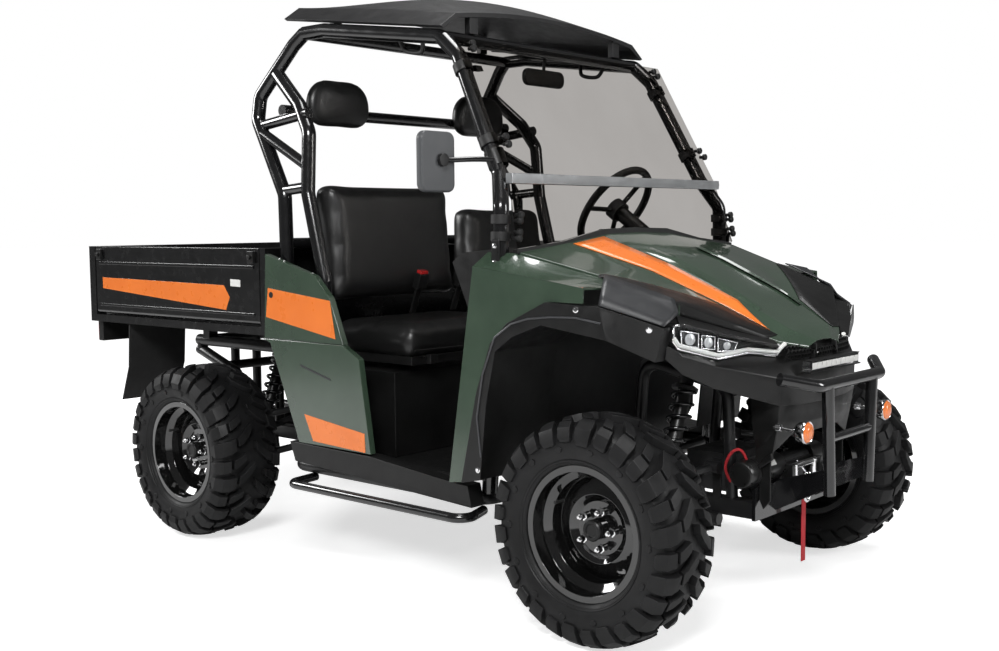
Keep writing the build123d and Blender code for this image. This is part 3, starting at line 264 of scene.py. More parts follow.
def see_through(name, scale, ior, roughness, dark, light):
    """A clear sheet with a faint drift of colour."""
    finish = Finish(name)
    finish.set(Transmission_Weight=1.0, IOR=ior, Roughness=roughness, Specular_IOR_Level=0.5)
    finish.colour(finish.blend(finish.spread(finish.noise(scale), 0, 1), dark, light))
    return finish


def make_finishes():
    """Every material, by the name of its slot or look."""
    made = {}
    for key, name, dark, light, *rest in finish_table:
        extras = rest.pop() if isinstance(rest[-1], dict) else {}
        made[key] = mottled(name, *mm(dark, light), *rest, **extras)
    made["smoked_glass"] = see_through("smoked_sheet", 3.0, 1.02, 0.02, *mm((390, 375, 360), (420, 405, 390)))
    made["lamp_clear"] = see_through("clear_lens", 8.0, 1.08, 0.0, *mm((930, 940, 950), (970, 980, 980)))
    return {key: finish.material for key, finish in made.items()}


def piece(name, bm, finish, stands_for=(), bevel=0.0, smooth=38.0, body="chassis"):
    """Turns a bmesh in to a finished piece that rides on a body."""
    bmesh.ops.recalc_face_normals(bm, faces=bm.faces[:])
    made = linked(name, bm)
    mesh = made.data
    mesh.polygons.foreach_set("use_smooth", [True] * len(mesh.polygons))
    mesh.set_sharp_from_angle(angle=math.radians(smooth))
    if bevel:
        modify(made, "edge", "BEVEL", width=bevel, segments=2, limit_method="ANGLE", angle_limit=math.radians(32))
        modify(made, "weigh", "WEIGHTED_NORMAL", weight=60)
    mesh.materials.append(finishes[finish])
    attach(made, body)
    if stands_for:
        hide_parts(*stands_for)
    return made


def modify(obj, name, kind, **settings):
    """Adds a modifier with its settings."""
    made = obj.modifiers.new(name, kind)
    for key, value in settings.items():
        setattr(made, key, value)
    return made


def add_box(bm, low, high):
    """An upright box between two opposite corners."""
    low, high = Vector(low), Vector(high)
    turn = Matrix.Translation((low + high) / 2) @ Matrix.Diagonal((*map(abs, high - low), 1))
    bmesh.ops.create_cube(bm, size=1.0, matrix=turn)


def add_prism(bm, outline, offset):
    """A flat outline of 3-D points carried along an offset."""
    low = [bm.verts.new(point) for point in outline]
    high = [bm.verts.new(Vector(point) + Vector(offset)) for point in outline]
    bm.faces.new(low)
    bm.faces.new(high[::-1])
    for index in range(len(low)):
        following = (index + 1) % len(low)
        bm.faces.new((low[following], low[index], high[index], high[following]))


def add_lathe(bm, profile, centre, axis, steps=48, closed=False):
    """(along, radius) points spun round an axis through a centre."""
    axis = Vector(axis).normalized()
    side = axis.orthogonal().normalized()
    verts = [bm.verts.new(Vector(centre) + axis * along + side * radius) for along, radius in profile]
    pairs = list(zip(verts, verts[1:])) + ([(verts[-1], verts[0])] if closed else [])
    edges = [bm.edges.new(pair) for pair in pairs]
    bmesh.ops.spin(bm, geom=verts + edges, cent=centre, axis=axis, angle=math.tau, steps=steps, use_merge=True)
    bmesh.ops.remove_doubles(bm, verts=bm.verts[:], dist=1e-6)


def add_rod(bm, start, end, radius, sides=20):
    """A round bar with flat ends."""
    start, end = Vector(start), Vector(end)
    length = (end - start).length
    add_lathe(bm, [(0, 0), (0, radius), (length, radius), (length, 0)], start, end - start, sides)


def add_sheet(bm, rows):
    """A grid of points joined in to quads."""
    made = [[bm.verts.new(point) for point in row] for row in rows]
    for first, second in zip(made, made[1:]):
        for index in range(len(first) - 1):
            bm.faces.new((first[index], first[index + 1], second[index + 1], second[index]))


def stamp(bm, *shape, **settings):
    """A lathed solid made on its own and then added to a bmesh."""
    part = bmesh.new()
    add_lathe(part, *shape, **settings)
    fresh = bpy.data.meshes.new("part")
    part.to_mesh(fresh)
    part.free()
    bm.from_mesh(fresh)
    bpy.data.meshes.remove(fresh)


def curve(name, points, finish, smooth, closed=False, **section):
    """A curve object through or along some points."""
    data = bpy.data.curves.new(name, "CURVE")
    data.dimensions = "3D"
    for key, value in section.items():
        setattr(data, key, value)
    spline = data.splines.new("NURBS" if smooth else "POLY")
    spline.points.add(len(points) - 1)
    for point, place in zip(spline.points, points):
        point.co = (*place, 1)
    spline.use_cyclic_u = closed
    if smooth:
        spline.order_u = 3
        spline.use_endpoint_u = True
    made = bpy.data.objects.new(name, data)
    bpy.context.scene.collection.objects.link(made)
    data.materials.append(finishes[finish])
    return made


def wire(name, points, radius, finish, smooth=False, closed=False, body="chassis"):
    """A round bar along a path."""
    made = curve(name, points, finish, smooth, closed, bevel_depth=radius, bevel_resolution=4, use_fill_caps=True)
    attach(made, body)
    return made


def screws(name, places, axis, size, finish):
    """Domed hexagon screws, all facing one way."""
    bm = bmesh.new()
    shape = ((0, 0), (0, 1.25), (0.2, 1.2), (0.2, 1.0), (0.75, 1.0), (0.95, 0.7), (0.95, 0))
    for place in places:
        stamp(bm, [(size * along, size * radius) for along, radius in shape], place, axis, 6)
    return piece(name, bm, finish)


def soften(node, width=0.002, angle=35.0):
    """Rounds a CAD node's edges with modifiers; its own mesh stays as it is."""
    obj = nodes[node]
    modify(obj, "weld", "WELD", merge_threshold=0.00002)
    modify(obj, "flat", "DECIMATE", decimate_type="DISSOLVE", angle_limit=math.radians(1.0))
    modify(obj, "edge", "BEVEL", width=width, segments=2, limit_method="ANGLE", angle_limit=math.radians(angle),
           use_clamp_overlap=True)
    modify(obj, "weigh", "WEIGHTED_NORMAL", weight=50)
    obj.data.polygons.foreach_set("use_smooth", [True] * len(obj.data.polygons))


def islands(node):
    """The separate solids of a CAD node, each a list of points, in the same order on every run."""
    bm = bmesh.new()
    bm.from_mesh(nodes[node].data)
    bmesh.ops.remove_doubles(bm, verts=bm.verts[:], dist=0.00002)
    left = dict.fromkeys(bm.verts)
    groups = []
    while left:
        seed = next(iter(left))
        del left[seed]
        group, queue = [seed], [seed]
        while queue:
            for edge in queue.pop().link_edges:
                for vert in edge.verts:
                    if vert in left:
                        del left[vert]
                        group.append(vert)
                        queue.append(vert)
        groups.append([vert.co.copy() for vert in group])
    bm.free()
    return groups


# ---- Wheels ----
def crown(width):
    """Carcass profile of half a tyre from the centre line out: (y, radius) points."""
    shape = ((0, 0.310), (0.45, 0.307), (0.75, 0.298), (0.92, 0.283), (1, 0.258), (0.985, 0.235), (0.93, 0.214),
             (0.86, 0.200))
    return [(width / 2 * share, radius) for share, radius in shape]


def along(profile, distance):
    """Point and outward normal at a distance along a (y, radius) profile."""
    for (y0, r0), (y1, r1) in zip(profile, profile[1:]):
        length = math.hypot(y1 - y0, r1 - r0)
        if distance <= length or (y1, r1) == profile[-1]:
            share = min(distance / length, 1.0)
            return (y0 + share * (y1 - y0), r0 + share * (r1 - r0), (r0 - r1) / length, (y1 - y0) / length)
        distance -= length


def add_lug(bm, profile, side, centre, stations, height):
    """One tread block: stations of (distance out, angle, half width, height share)."""
    rings = []
    for distance, angle, half, share in stations:
        y, r, ny, nr = along(profile, distance)
        rise = height * share
        ring = []
        for offset, lift in ((-half - 0.003, -0.004), (-half, rise), (half, rise), (half + 0.003, -0.004)):
            turn = angle + offset / r
            radius = r + nr * lift
            reach = Vector((radius * math.sin(turn), side * (y + ny * lift), radius * math.cos(turn)))
            ring.append(bm.verts.new(Vector(centre) + reach))
        rings.append(ring)
    for first, second in zip(rings, rings[1:]):
        for index in range(3):
            bm.faces.new((first[index], first[index + 1], second[index + 1], second[index]))
    bm.faces.new(rings[0][::-1])
    bm.faces.new(rings[-1])


# Tread blocks, each a row of stations: distance out from the centre line, angle in pitches, half width, height share.
lug_blocks = [
    [(0.003, -0.34, 0.012, 1.0), (0.022, -0.20, 0.017, 1.0), (0.046, -0.05, 0.017, 1.0), (0.062, 0.03, 0.015, 1.0)],
    [(0.070, 0.08, 0.021, 1.0), (0.092, 0.14, 0.024, 1.0), (0.112, 0.17, 0.025, 0.95), (0.136, 0.19, 0.024, 0.6),
     (0.152, 0.20, 0.018, 0.25)],
    [(0.040, 0.42, 0.012, 1.0), (0.060, 0.52, 0.015, 1.0), (0.084, 0.60, 0.015, 1.0)],
    [(0.094, 0.63, 0.019, 1.0), (0.114, 0.67, 0.021, 0.95), (0.134, 0.69, 0.021, 0.6), (0.146, 0.70, 0.015, 0.3)],
    [(0.158, 0.45, 0.006, 0.15), (0.166, 0.45, 0.011, 0.18), (0.176, 0.45, 0.004, 0.10)],
]


def tyre(corner, x, width):
    """Carcass with deep angled lugs that run over the shoulder."""
    side = side_of[corner.split("_")[1]]
    centre = (x, side * (half_track - width / 2), axle_height)
    profile = crown(width)
    bm = bmesh.new()
    outer = [(-y, r) for y, r in reversed(profile)] + profile[1:]
    wall, shoulder = profile[-1][0], profile[-2][0]
    bead = [(wall - 0.006, 0.196), (wall - 0.02, 0.196), (shoulder - 0.03, 0.23), (0, 0.275)]
    inner = bead + [(-y, r) for y, r in reversed(bead[:-1])]
    add_lathe(bm, outer + inner, centre, (0, 1, 0), 96, closed=True)
    pitches, lug_height = 14, 0.0225
    lean = math.tau / pitches
    scale = width / 0.25
    for half_side in (-1, 1):
        for index in range(pitches):
            start = (index + (0.5 if half_side > 0 else 0.0)) * math.tau / pitches
            for block in lug_blocks:
                stations = [(out * scale, start + lean * turn, half, share) for out, turn, half, share in block]
                add_lug(bm, profile, half_side, centre, stations, lug_height)
    ring = [(wall + 0.001, 0.2035), (wall + 0.0055, 0.206), (wall + 0.0055, 0.2095), (shoulder + 0.001, 0.2125)]
    for half_side in (-1, 1):
        add_lathe(bm, [(half_side * y, r) for y, r in ring], centre, (0, 1, 0), 96)
    return piece(corner + "_tread", bm, "tyre_rubber", [corner + "_tyre"], bevel=0.0014, body=corner + "_wheel")


def wheel_trim(corner, x):
    """Chrome nuts on their studs, hub cap ring and valve stem."""
    side = side_of[corner.split("_")[1]]
    out = Vector((0, side, 0))
    face = side * (half_track - 0.024 - 0.092)
    nuts, cap = bmesh.new(), bmesh.new()
    stud_circle, valve_circle = 0.055, 0.135

    def spot(turn, radius, lift):
        return Vector((x + radius * math.cos(turn), face + side * lift, axle_height + radius * math.sin(turn)))

    nut = mm((0, 0), (0, 13.5), (4, 13.5), (5, 10.5), (17, 10.5), (21, 8), (21, 5), (28, 5), (29, 0))
    for index in range(5):
        place = spot(math.tau * index / 5, stud_circle, 0.0195)
        stamp(nuts, nut, place, out, 6)
    add_lathe(cap, mm((0, 0), (0, 31), (12, 31), (16, 27), (16, 20), (12, 18), (12, 0)),
              (x, face + side * 0.030, axle_height), out, 32)
    piece(corner + "_nuts", nuts, "bright_chrome", body=corner + "_wheel")
    piece(corner + "_hub_cap", cap, "black_plastic", bevel=0.0008, body=corner + "_wheel")
    stem = bmesh.new()
    root = spot(math.radians(150), valve_circle, 0.02)
    add_rod(stem, root, root + out * 0.03, 0.004, 12)
    add_rod(stem, root + out * 0.03, root + out * 0.042, 0.0052, 12)
    piece(corner + "_valve", stem, "black_rubber", body=corner + "_wheel")


def wheels():
    for end, x, width in (("front", front_axle, 0.23), ("rear", rear_axle, 0.27)):
        for side in ("left", "right"):
            corner = f"{end}_{side}"
            tyre(corner, x, width)
            wheel_trim(corner, x)
            soften(corner + "_rim", 0.0015, 30)


# ---- Seats ----
def pad(name, corners, stands_for, crease=0.05, round_ends=0.0):
    """A stuffed pad grown from a rounded block: eight corners, lower ring then upper ring."""
    bm = bmesh.new()
    verts = [bm.verts.new(corner) for corner in corners]
    for face in ((0, 3, 2, 1), (4, 5, 6, 7), (0, 1, 5, 4), (1, 2, 6, 5), (2, 3, 7, 6), (3, 0, 4, 7)):
        bm.faces.new([verts[index] for index in face])
    if round_ends:
        across = [e for e in bm.edges if abs(e.verts[0].co.x - e.verts[1].co.x) > 0.03]
        bmesh.ops.bevel(bm, geom=across, offset=round_ends, segments=6, profile=0.5, affect="EDGES", material=-1)
        rim = [e for e in bm.edges if abs(e.verts[0].co.x - e.verts[1].co.x) < 0.03 and e.calc_face_angle(0) > 0.8]
        bmesh.ops.bevel(bm, geom=rim, offset=crease, segments=4, profile=0.5, affect="EDGES", material=-1)
    else:
        bmesh.ops.bevel(bm, geom=bm.edges[:], offset=crease, segments=3, profile=0.5, affect="EDGES", material=-1)
    bmesh.ops.recalc_face_normals(bm, faces=bm.faces[:])
    made = linked(name, bm)
    modify(made, "remesh", "REMESH", mode="VOXEL", voxel_size=0.009)
    modify(made, "relax", "SMOOTH", factor=0.6, iterations=10)
    bake(made)
    start = [v.co.copy() for v in made.data.vertices]
    cloth = modify(made, "cloth", "CLOTH")
    cloth.settings.use_pressure = True
    cloth.settings.uniform_pressure_force = 4.0
    cloth.settings.effector_weights.gravity = 0.0
    cloth.settings.quality = 4
    for step in range(1, 15):
        bpy.context.scene.frame_set(step)
    bake(made)
    bpy.context.scene.frame_set(1)
    for vert, before in zip(made.data.vertices, start):
        shift = vert.co - before
        if shift.length > pad_swell_cap:
            vert.co = before + shift.normalized() * pad_swell_cap
    modify(made, "relax", "SMOOTH", factor=0.5, iterations=22)
    bake(made)
    made.data.polygons.foreach_set("use_smooth", [True] * len(made.data.polygons))
    modify(made, "fine", "SUBSURF", levels=1, render_levels=1)
    made.data.materials.clear()
    made.data.materials.append(finishes["black_vinyl"])
    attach(made, "chassis")
    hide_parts(*stands_for)
    return made


def bake(obj):
    """Applies an object's modifiers to its mesh."""
    graph = bpy.context.evaluated_depsgraph_get()
    graph.update()
    fresh = bpy.data.meshes.new_from_object(obj.evaluated_get(graph))
    obj.modifiers.clear()
    obj.data = fresh


def slab(low_x, high_x, low_y, high_y, low_z, high_z, top_shift=0.0, top_in=0.0):
    """Corners of a block whose top leans along x and narrows in y."""
    return [(low_x, low_y, low_z), (high_x, low_y, low_z), (high_x, high_y, low_z), (low_x, high_y, low_z),
            (low_x + top_shift, low_y + top_in, high_z), (high_x + top_shift, low_y + top_in, high_z),
            (high_x + top_shift, high_y - top_in, high_z), (low_x + top_shift, high_y - top_in, high_z)]


def seats():
    for name, low, high in (("passenger", -0.602, 0.012), ("driver", 0.052, 0.594)):
        block = slab(rear_axle + 0.665, rear_axle + 1.097, low, high, 0.750, 0.854, 0.0, 0.008)
        pad(name + "_cushion", block, ["seat_cushions"], 0.035)
    for name, low, high, top, lean, narrow in (("passenger", -0.618, 0.014, 1.344, -0.034, 0.006),
                                               ("driver", 0.052, 0.598, 1.262, -0.028, 0.045)):
        block = slab(rear_axle + 0.645, rear_axle + 0.744, low, high, 0.922, top, lean, narrow)
        pad(name + "_back", block, ["seat_backs"], 0.028)
    bar = rear_axle + 0.472
    for name, side in (("left", 1), ("right", -1)):
        centre = side * 0.386
        block = slab(bar + 0.016, bar + 0.074, centre - 0.160, centre + 0.160, 1.553, 1.730, 0.0, 0.02)
        pad(name + "_headrest", block, ["headrests"], 0.028, round_ends=0.078)
    seams()


def seams():
    """Piping along the cushions' front edges and a pan under each cushion."""
    front = rear_axle + 1.099
    for name, low, high in (("passenger", -0.575, -0.012), ("driver", 0.075, 0.570)):
        line = [(front - 0.004, low, 0.776), (front + 0.002, (low + high) / 2, 0.772), (front - 0.004, high, 0.776)]
        wire(name + "_piping", line, 0.003, "black_vinyl", smooth=True)
        pan = bmesh.new()
        add_box(pan, (front - 0.40, low + 0.01, 0.7225), (front - 0.03, high - 0.01, 0.752))
        for spot in (low + 0.10, (low + high) / 2, high - 0.10):
            add_box(pan, (front - 0.034, spot - 0.018, 0.7225), (front - 0.012, spot + 0.018, 0.756))
        piece(name + "_seat_pan", pan, "black_metal", bevel=0.002)


# ---- Nose, bonnet and lamps ----
# Bonnet stations: x, middle z, then the columns plateau, crease and edge, each (y, z).
plateau, crease, edge = 2, 3, 4
bonnet_table = [
    (front_axle - 0.338, 1.164, (0.182, 1.160), (0.390, 1.134), (0.624, 1.110)),
    (front_axle - 0.088, 1.072, (0.168, 1.068), (0.302, 1.048), (0.541, 1.040)),
    (front_axle + 0.137, 0.966, (0.150, 0.963), (0.224, 0.940), (0.482, 0.966)),
    (front_axle + 0.300, 0.876, (0.120, 0.873), (0.172, 0.852), (0.200, 0.845)),
    (front_axle + 0.346, 0.841, (0.046, 0.839), (0.074, 0.831), (0.098, 0.825)),
]


def bonnet_at(x, share, lift, side, low, high):
    """A point above the bonnet, part of the way from one column of its table to another."""
    for first, second in zip(bonnet_table, bonnet_table[1:]):
        if x <= second[0] or second is bonnet_table[-1]:
            along_x = (x - first[0]) / (second[0] - first[0])
            y, z = between(*(between(first[column], second[column], along_x) for column in (low, high)), share)
            return (x, side * y, z + lift)


def bonnet_trim():
    """Bonnet skin, hinge ears, the orange band beside the right crease, and the raised ribs on top."""
    skin = bmesh.new()
    rows = []
    for skirt, (x, middle, top, bend, rim) in zip((0.026, 0.026, 0.040, 0.008, 0.006), bonnet_table):
        flank = [between(rim, bend, share) for share in (0.25, 0.5, 0.75)]
        half = [(rim[0] + 0.001, rim[1] - skirt), rim, *flank, bend, top, (0.0, middle)]
        rows.append([(x, -y, z) for y, z in half] + [(x, y, z) for y, z in half[-2::-1]])
    fine = []
    for first, second in zip(rows, rows[1:]):
        for step in range(8):
            fine.append([between(p, q, step / 8) for p, q in zip(first, second)])
    fine.append(rows[-1])
    add_sheet(skin, fine)
    cover = piece("bonnet_skin", skin, "green_paint", ["hood"], smooth=20, body="bonnet")
    modify(cover, "shell", "SOLIDIFY", thickness=0.004, offset=-1)
    modify(cover, "round", "BEVEL", width=0.005, segments=3, limit_method="ANGLE", angle_limit=math.radians(12))
    modify(cover, "weigh", "WEIGHTED_NORMAL", weight=60)
    ears = bmesh.new()
    for side in (-1, 1):
        add_rod(ears, (front_axle + 0.346, side * 0.062, 0.807), (front_axle + 0.346, side * 0.070, 0.807), 0.009)
        add_box(ears, (front_axle + 0.338, side * 0.062, 0.807), (front_axle + 0.354, side * 0.070, 0.830))
    piece("bonnet_ears", ears, "black_metal", body="bonnet")
    start, stop = front_axle - 0.325, front_axle + 0.262
    bm = bmesh.new()
    rows = []
    for index in range(25):
        x = start + (stop - start) * index / 24
        width = 0.80 if index < 20 else 0.80 - 0.17 * (index - 19)
        rows.append([bonnet_at(x, 0.04 + width * step / 4, 0.0016, -1, crease, plateau) for step in range(5)])
    add_sheet(bm, rows)
    band = piece("bonnet_band", bm, "orange_film", body="bonnet")
    modify(band, "shell", "SOLIDIFY", thickness=0.0008, offset=0)
    for name, side in sides:
        rib = bmesh.new()
        rows = []
        for index in range(17):
            x = front_axle - 0.20 + 0.40 * index / 16
            fade = math.sin(math.pi * index / 16) ** 0.5
            section = ((0.95, 0.0002), (1.0, 0.008), (1.25, 0.008), (1.30, 0.0002))
            rows.append([bonnet_at(x, share, lift * fade, side, crease, plateau) for share, lift in section])
        add_sheet(rib, rows)
        piece(name + "_bonnet_rib", rib, "green_paint", body="bonnet")


def bonnet_shade():
    """Dark wedge on each flank of the bonnet, widening towards the lamps."""
    for name, side in sides:
        bm = bmesh.new()
        rows = []
        for index in range(25):
            x = front_axle - 0.10 + 0.385 * index / 24
            top = 0.10 + 0.86 * min(1.0, index / 15)
            brow = Vector(bonnet_at(x, 0.0, 0.0, side, edge, crease)) + Vector((0, side * 0.0035, 0))
            if x < front_axle + 0.137:
                drop = 0.030 + 0.008 * min(1.0, (x - front_axle + 0.10) / 0.237)
            else:
                drop = 0.038 - 0.032 * (x - front_axle - 0.137) / 0.163
            skirt = [brow - Vector((0, 0, drop)), brow - Vector((0, 0, drop / 2)), brow]
            shares = [0.02 + (top - 0.02) * step / 4 for step in range(5)]
            rows.append(skirt + [bonnet_at(x, share, 0.0022, side, edge, crease) for share in shares])
        add_sheet(bm, rows)
        shade = piece(name + "_bonnet_shade", bm, "black_plastic", body="bonnet")
        modify(shade, "shell", "SOLIDIFY", thickness=0.0006, offset=0)


def wing_caps():
    """Smooth dark brow at the front of each wing, between the flare and the bonnet."""
    table = [mm((-78, 549, 1047), (-30, 621, 1029), (2, 688, 967.8)),
             mm((30, 518, 1013), (55, 566, 987), (80, 636, 938.4)),
             mm((126, 492, 980), (150, 505, 940), (156, 587, 909.2))]
    for name, side in sides:
        bm = bmesh.new()
        rows = []
        for first, second in zip(table, table[1:]):
            for step in range(9 if second is table[-1] else 8):
                rows.append([between(p, q, step / 8) for p, q in zip(first, second)])
        sheet = []
        for rim, ridge, low in rows:
            points = [rim, between(rim, ridge, 0.5), ridge, between(ridge, low, 0.5), low]
            sheet.append([(front_axle + x, side * y, z) for x, y, z in points])
        add_sheet(bm, sheet)
        cap = piece(name + "_wing_cap", bm, "satin_grey", ["fender_caps"], smooth=45)
        modify(cap, "shell", "SOLIDIFY", thickness=0.004, offset=-1)


# Lamp face outline, clockwise from the lower outer corner: x from the front axle, half width, z.
lamp_outline = mm((168, 541, 843), (163, 555, 863), (162, 553, 906), (174, 520, 909), (312, 190, 829),
                  (300, 218, 806), (258, 310, 818), (217, 408, 806))
lamp_modules = [mm((170, 534, 893), (191, 475, 883), (191, 475, 843), (171, 531, 852)),
                mm((195, 465, 877), (212, 422, 871), (212, 422, 834), (195, 465, 840)),
                mm((216, 412, 866), (242, 347, 850), (238, 359, 828), (216, 412, 828))]


def placed(outline, side, out=0.0):
    """Lamp points on one side of the nose, moved out along the lamp's face."""
    return [Vector((front_axle + x + out * 0.90, side * (y + out * 0.42), z)) for x, y, z in outline]


def headlamps():
    """Dark tub, bright rim, light strip, three modules with lenses, clear cover and the dark band above."""
    for name, side in sides:
        tub = bmesh.new()
        add_prism(tub, placed(lamp_outline, side), (-0.045, -side * 0.004, 0))
        stand = (front_axle + 0.160, side * 0.440, 0.800), (front_axle + 0.178, side * 0.480, 0.845)
        add_box(tub, *stand)
        piece(name + "_lamp_tub", tub, "black_plastic", ["headlamps"], bevel=0.002)
        wire(name + "_lamp_rim", placed(lamp_outline, side, 0.002), 0.0035, "bright_chrome", closed=True)
        lower = placed([lamp_outline[index] for index in (1, 0, 7, 6, 5, 4)], side, 0.006)
        wire(name + "_light_strip", [point + Vector((0, 0, 0.010)) for point in lower], 0.0065, "pale_label")
        for index, outline in enumerate(lamp_modules):
            well = bmesh.new()
            add_prism(well, placed(outline, side, 0.001), (0.004, side * 0.002, 0))
            piece(f"{name}_lamp_module_{index + 1}", well, "satin_grey", bevel=0.001)
            centre = sum(placed(outline, side, 0.006), Vector()) / 4
            lens = bmesh.new()
            radius = (0.017, 0.015, 0.012)[index]
            add_lathe(lens, [(0, 0), (0, radius), (0.004, radius), (0.007, radius * 0.7), (0.009, 0)], centre,
                      (0.9, side * 0.42, 0), 32)
            piece(f"{name}_lamp_lens_{index + 1}", lens, "brushed_bar")
            rim = placed(outline, side, 0.008)
            wire(f"{name}_module_rim_{index + 1}", rim, 0.0022, "bright_chrome", closed=True)
        cover = bmesh.new()
        add_prism(cover, placed(lamp_outline, side, 0.018), (0.0015, side * 0.0007, 0))
        piece(name + "_lamp_cover", cover, "lamp_clear", bevel=0.0006)
        band = bmesh.new()
        strip = [mm((128, 489, 936), (174, 536, 912)), mm((216, 352, 888), (246, 398, 878)),
                 mm((296, 214, 848), (316, 232, 838))]
        for first, second in zip(strip, strip[1:]):
            corners = [*first, *second[::-1]]
            add_prism(band, [(front_axle + x, side * y, z) for x, y, z in corners], (0, 0, -0.010))
        bmesh.ops.remove_doubles(band, verts=band.verts[:], dist=1e-5)
        piece(name + "_lamp_band", band, "black_plastic", bevel=0.0015)


# Nose skin, rows from the lamp's lower edge down; each point is x from the front axle, half width, z.
nose_rows = [
    mm((140, 556, 850), (166, 541, 838), (215, 408, 802), (256, 310, 814), (300, 212, 802), (322, 150, 800),
       (344, 0, 800)),
    mm((140, 556, 828), (168, 520, 818), (226, 431, 786), (282, 342, 764), (330, 250, 742), (352, 150, 748),
       (364, 0, 748)),
    mm((138, 556, 812), (168, 509, 764), (222, 431, 722), (286, 328, 687), (330, 246, 660), (348, 150, 655),
       (360, 0, 655)),
]
housing_rows = [
    mm((236, 252, 690), (330, 246, 662), (346, 150, 656), (358, 0, 656)),
    mm((240, 248, 600), (322, 240, 598), (340, 150, 598), (350, 0, 598)),
    mm((250, 240, 520), (308, 236, 520), (318, 150, 560), (330, 0, 560)),
]


def nose():
    """Angular lower nose wrapped round from arch to arch, and the housing that drops from it."""
    bm = bmesh.new()
    for rows in (nose_rows, housing_rows):
        whole = []
        for row in rows:
            right = [(front_axle + x, -y, z) for x, y, z in row]
            left = [(front_axle + x, y, z) for x, y, z in row[-2::-1]]
            whole.append(right + left)
        add_sheet(bm, whole)
    skin = piece("nose_skin", bm, "black_plastic", ["nose_fascia"], smooth=16)
    modify(skin, "shell", "SOLIDIFY", thickness=0.006, offset=-1)
    modify(skin, "edge", "BEVEL", width=0.003, segments=2, limit_method="ANGLE", angle_limit=math.radians(14))
    ears = bmesh.new()
    for side in (-1, 1):
        add_box(ears, (front_axle + 0.324, side * 0.072, 0.785), (front_axle + 0.353, side * 0.079, 0.813))
        add_rod(ears, (front_axle + 0.346, side * 0.060, 0.807), (front_axle + 0.346, side * 0.079, 0.807), 0.004)
    piece("hinge_ears", ears, "black_metal")
    cheeks = bmesh.new()
    for side in (-1, 1):
        cheek = mm((243, 604), (322, 598), (308, 520), (300, 500), (300, 372), (276, 344), (262, 372),
                   (262, 463), (250, 470))
        flange = mm((262, 463), (312, 500), (308, 520), (250, 470))
        for outline, offset in ((cheek, -0.006), (flange, 0.014)):
            add_prism(cheeks, [(front_axle + x, side * 0.240, z) for x, z in outline], (0, side * offset, 0))
    piece("nose_cheeks", cheeks, "black_plastic", bevel=0.003)


def winch():
    """Motor, rope drum, gear housing, feet, roller fairlead, rope, hook, lead and label."""
    x, z = front_axle + 0.232, 0.452
    motor, drum, gears, rollers, feet, hook, cable = (bmesh.new() for _ in range(7))
    case = mm((0, 0), (0, 30), (4, 38), (18, 42), (40, 42), (42, 40.5), (50, 40.5), (52, 42), (205, 42),
              (213, 36), (215, 0))
    train = mm((0, 0), (0, 44), (12, 44), (16, 40), (84, 40), (92, 34), (95, 0))
    layers = [(0.002 + 0.166 * step / 40, 0.031 - 0.004 * (step % 2)) for step in range(41)]
    add_lathe(motor, case, (x, -0.300, z), (0, 1, 0), 40)
    add_lathe(gears, train, (x, 0.085, z), (0, 1, 0), 40)
    add_lathe(drum, [(0, 0), *layers, (0.170, 0)], (x, -0.085, z), (0, 1, 0), 24)
    for side in (-1, 1):
        add_box(feet, (x - 0.015, side * 0.084, 0.3613), (x + 0.015, side * 0.100, z))
    fair = front_axle + 0.262
    add_box(feet, (fair + 0.0003, -0.100, 0.372), (fair + 0.006, 0.100, 0.462))
    for side in (-1, 1):
        add_box(feet, (fair + 0.006, side * 0.084, 0.376), (fair + 0.036, side * 0.100, 0.458))
        add_rod(rollers, (fair + 0.022, side * 0.062, 0.380), (fair + 0.022, side * 0.062, 0.454), 0.011)
    for height in (0.386, 0.448):
        add_rod(rollers, (fair + 0.020, -0.084, height), (fair + 0.020, 0.084, height), 0.010)
    add_rod(cable, (x + 0.030, -0.010, z + 0.008), (front_axle + 0.304, -0.014, 0.418), 0.0035)
    piece("winch_motor", motor, "black_metal", ["winch"], bevel=0.001)
    piece("winch_gears", gears, "black_metal", bevel=0.001)
    piece("winch_drum", drum, "cast_metal")
    piece("winch_feet", feet, "black_metal", bevel=0.001)
    piece("fairlead_rollers", rollers, "bright_chrome", bevel=0.001)
    piece("winch_rope", cable, "steel")
    place = Vector((front_axle + 0.304, -0.015, 0.0))
    bend = mm((0, 0, 424), (0, 0, 395), (0, 0, 380), (0, 14, 362), (0, 12, 343), (0, -4, 334), (0, -18, 342),
              (0, -21, 356))
    wire("winch_hook", [place + Vector(point) for point in bend], 0.0058, "bright_chrome", smooth=True)
    add_lathe(hook, mm((0, 0), (0, 10), (3, 12), (12, 12), (15, 10), (15, 0)), place + Vector((0, 0, 0.412)),
              (0, 0, 1), 20)
    piece("hook_eye", hook, "bright_chrome")
    lead = [(x, -0.262, z + 0.040), (x - 0.006, -0.275, z + 0.075), (x - 0.030, -0.292, z + 0.070),
            (x - 0.055, -0.290, z + 0.030), (x - 0.065, -0.270, z - 0.010), (x - 0.060, -0.240, z - 0.045)]
    wire("winch_lead", lead, 0.0045, "red_webbing", smooth=True)
    label = bmesh.new()
    rows = []
    for step in range(5):
        turn = math.radians(20 + 10 * step)
        spot = (x + 0.0424 * math.cos(turn), z + 0.0424 * math.sin(turn))
        rows.append([(spot[0], -0.215, spot[1]), (spot[0], -0.150, spot[1])])
    add_sheet(label, rows)
    piece("winch_label", label, "pale_label")


def strap():
    """Flat pull strap hanging from the hook."""
    x, y = front_axle + 0.304, -0.0372
    route = [(x, y, 0.3445), (x, y, 0.285), (x, y, 0.215), (x, y, 0.151)]
    made = curve("pull_strap", route, "red_webbing", smooth=True, extrude=0.0115, bevel_depth=0.0015)
    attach(made, "chassis")
    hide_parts("hook_strap")


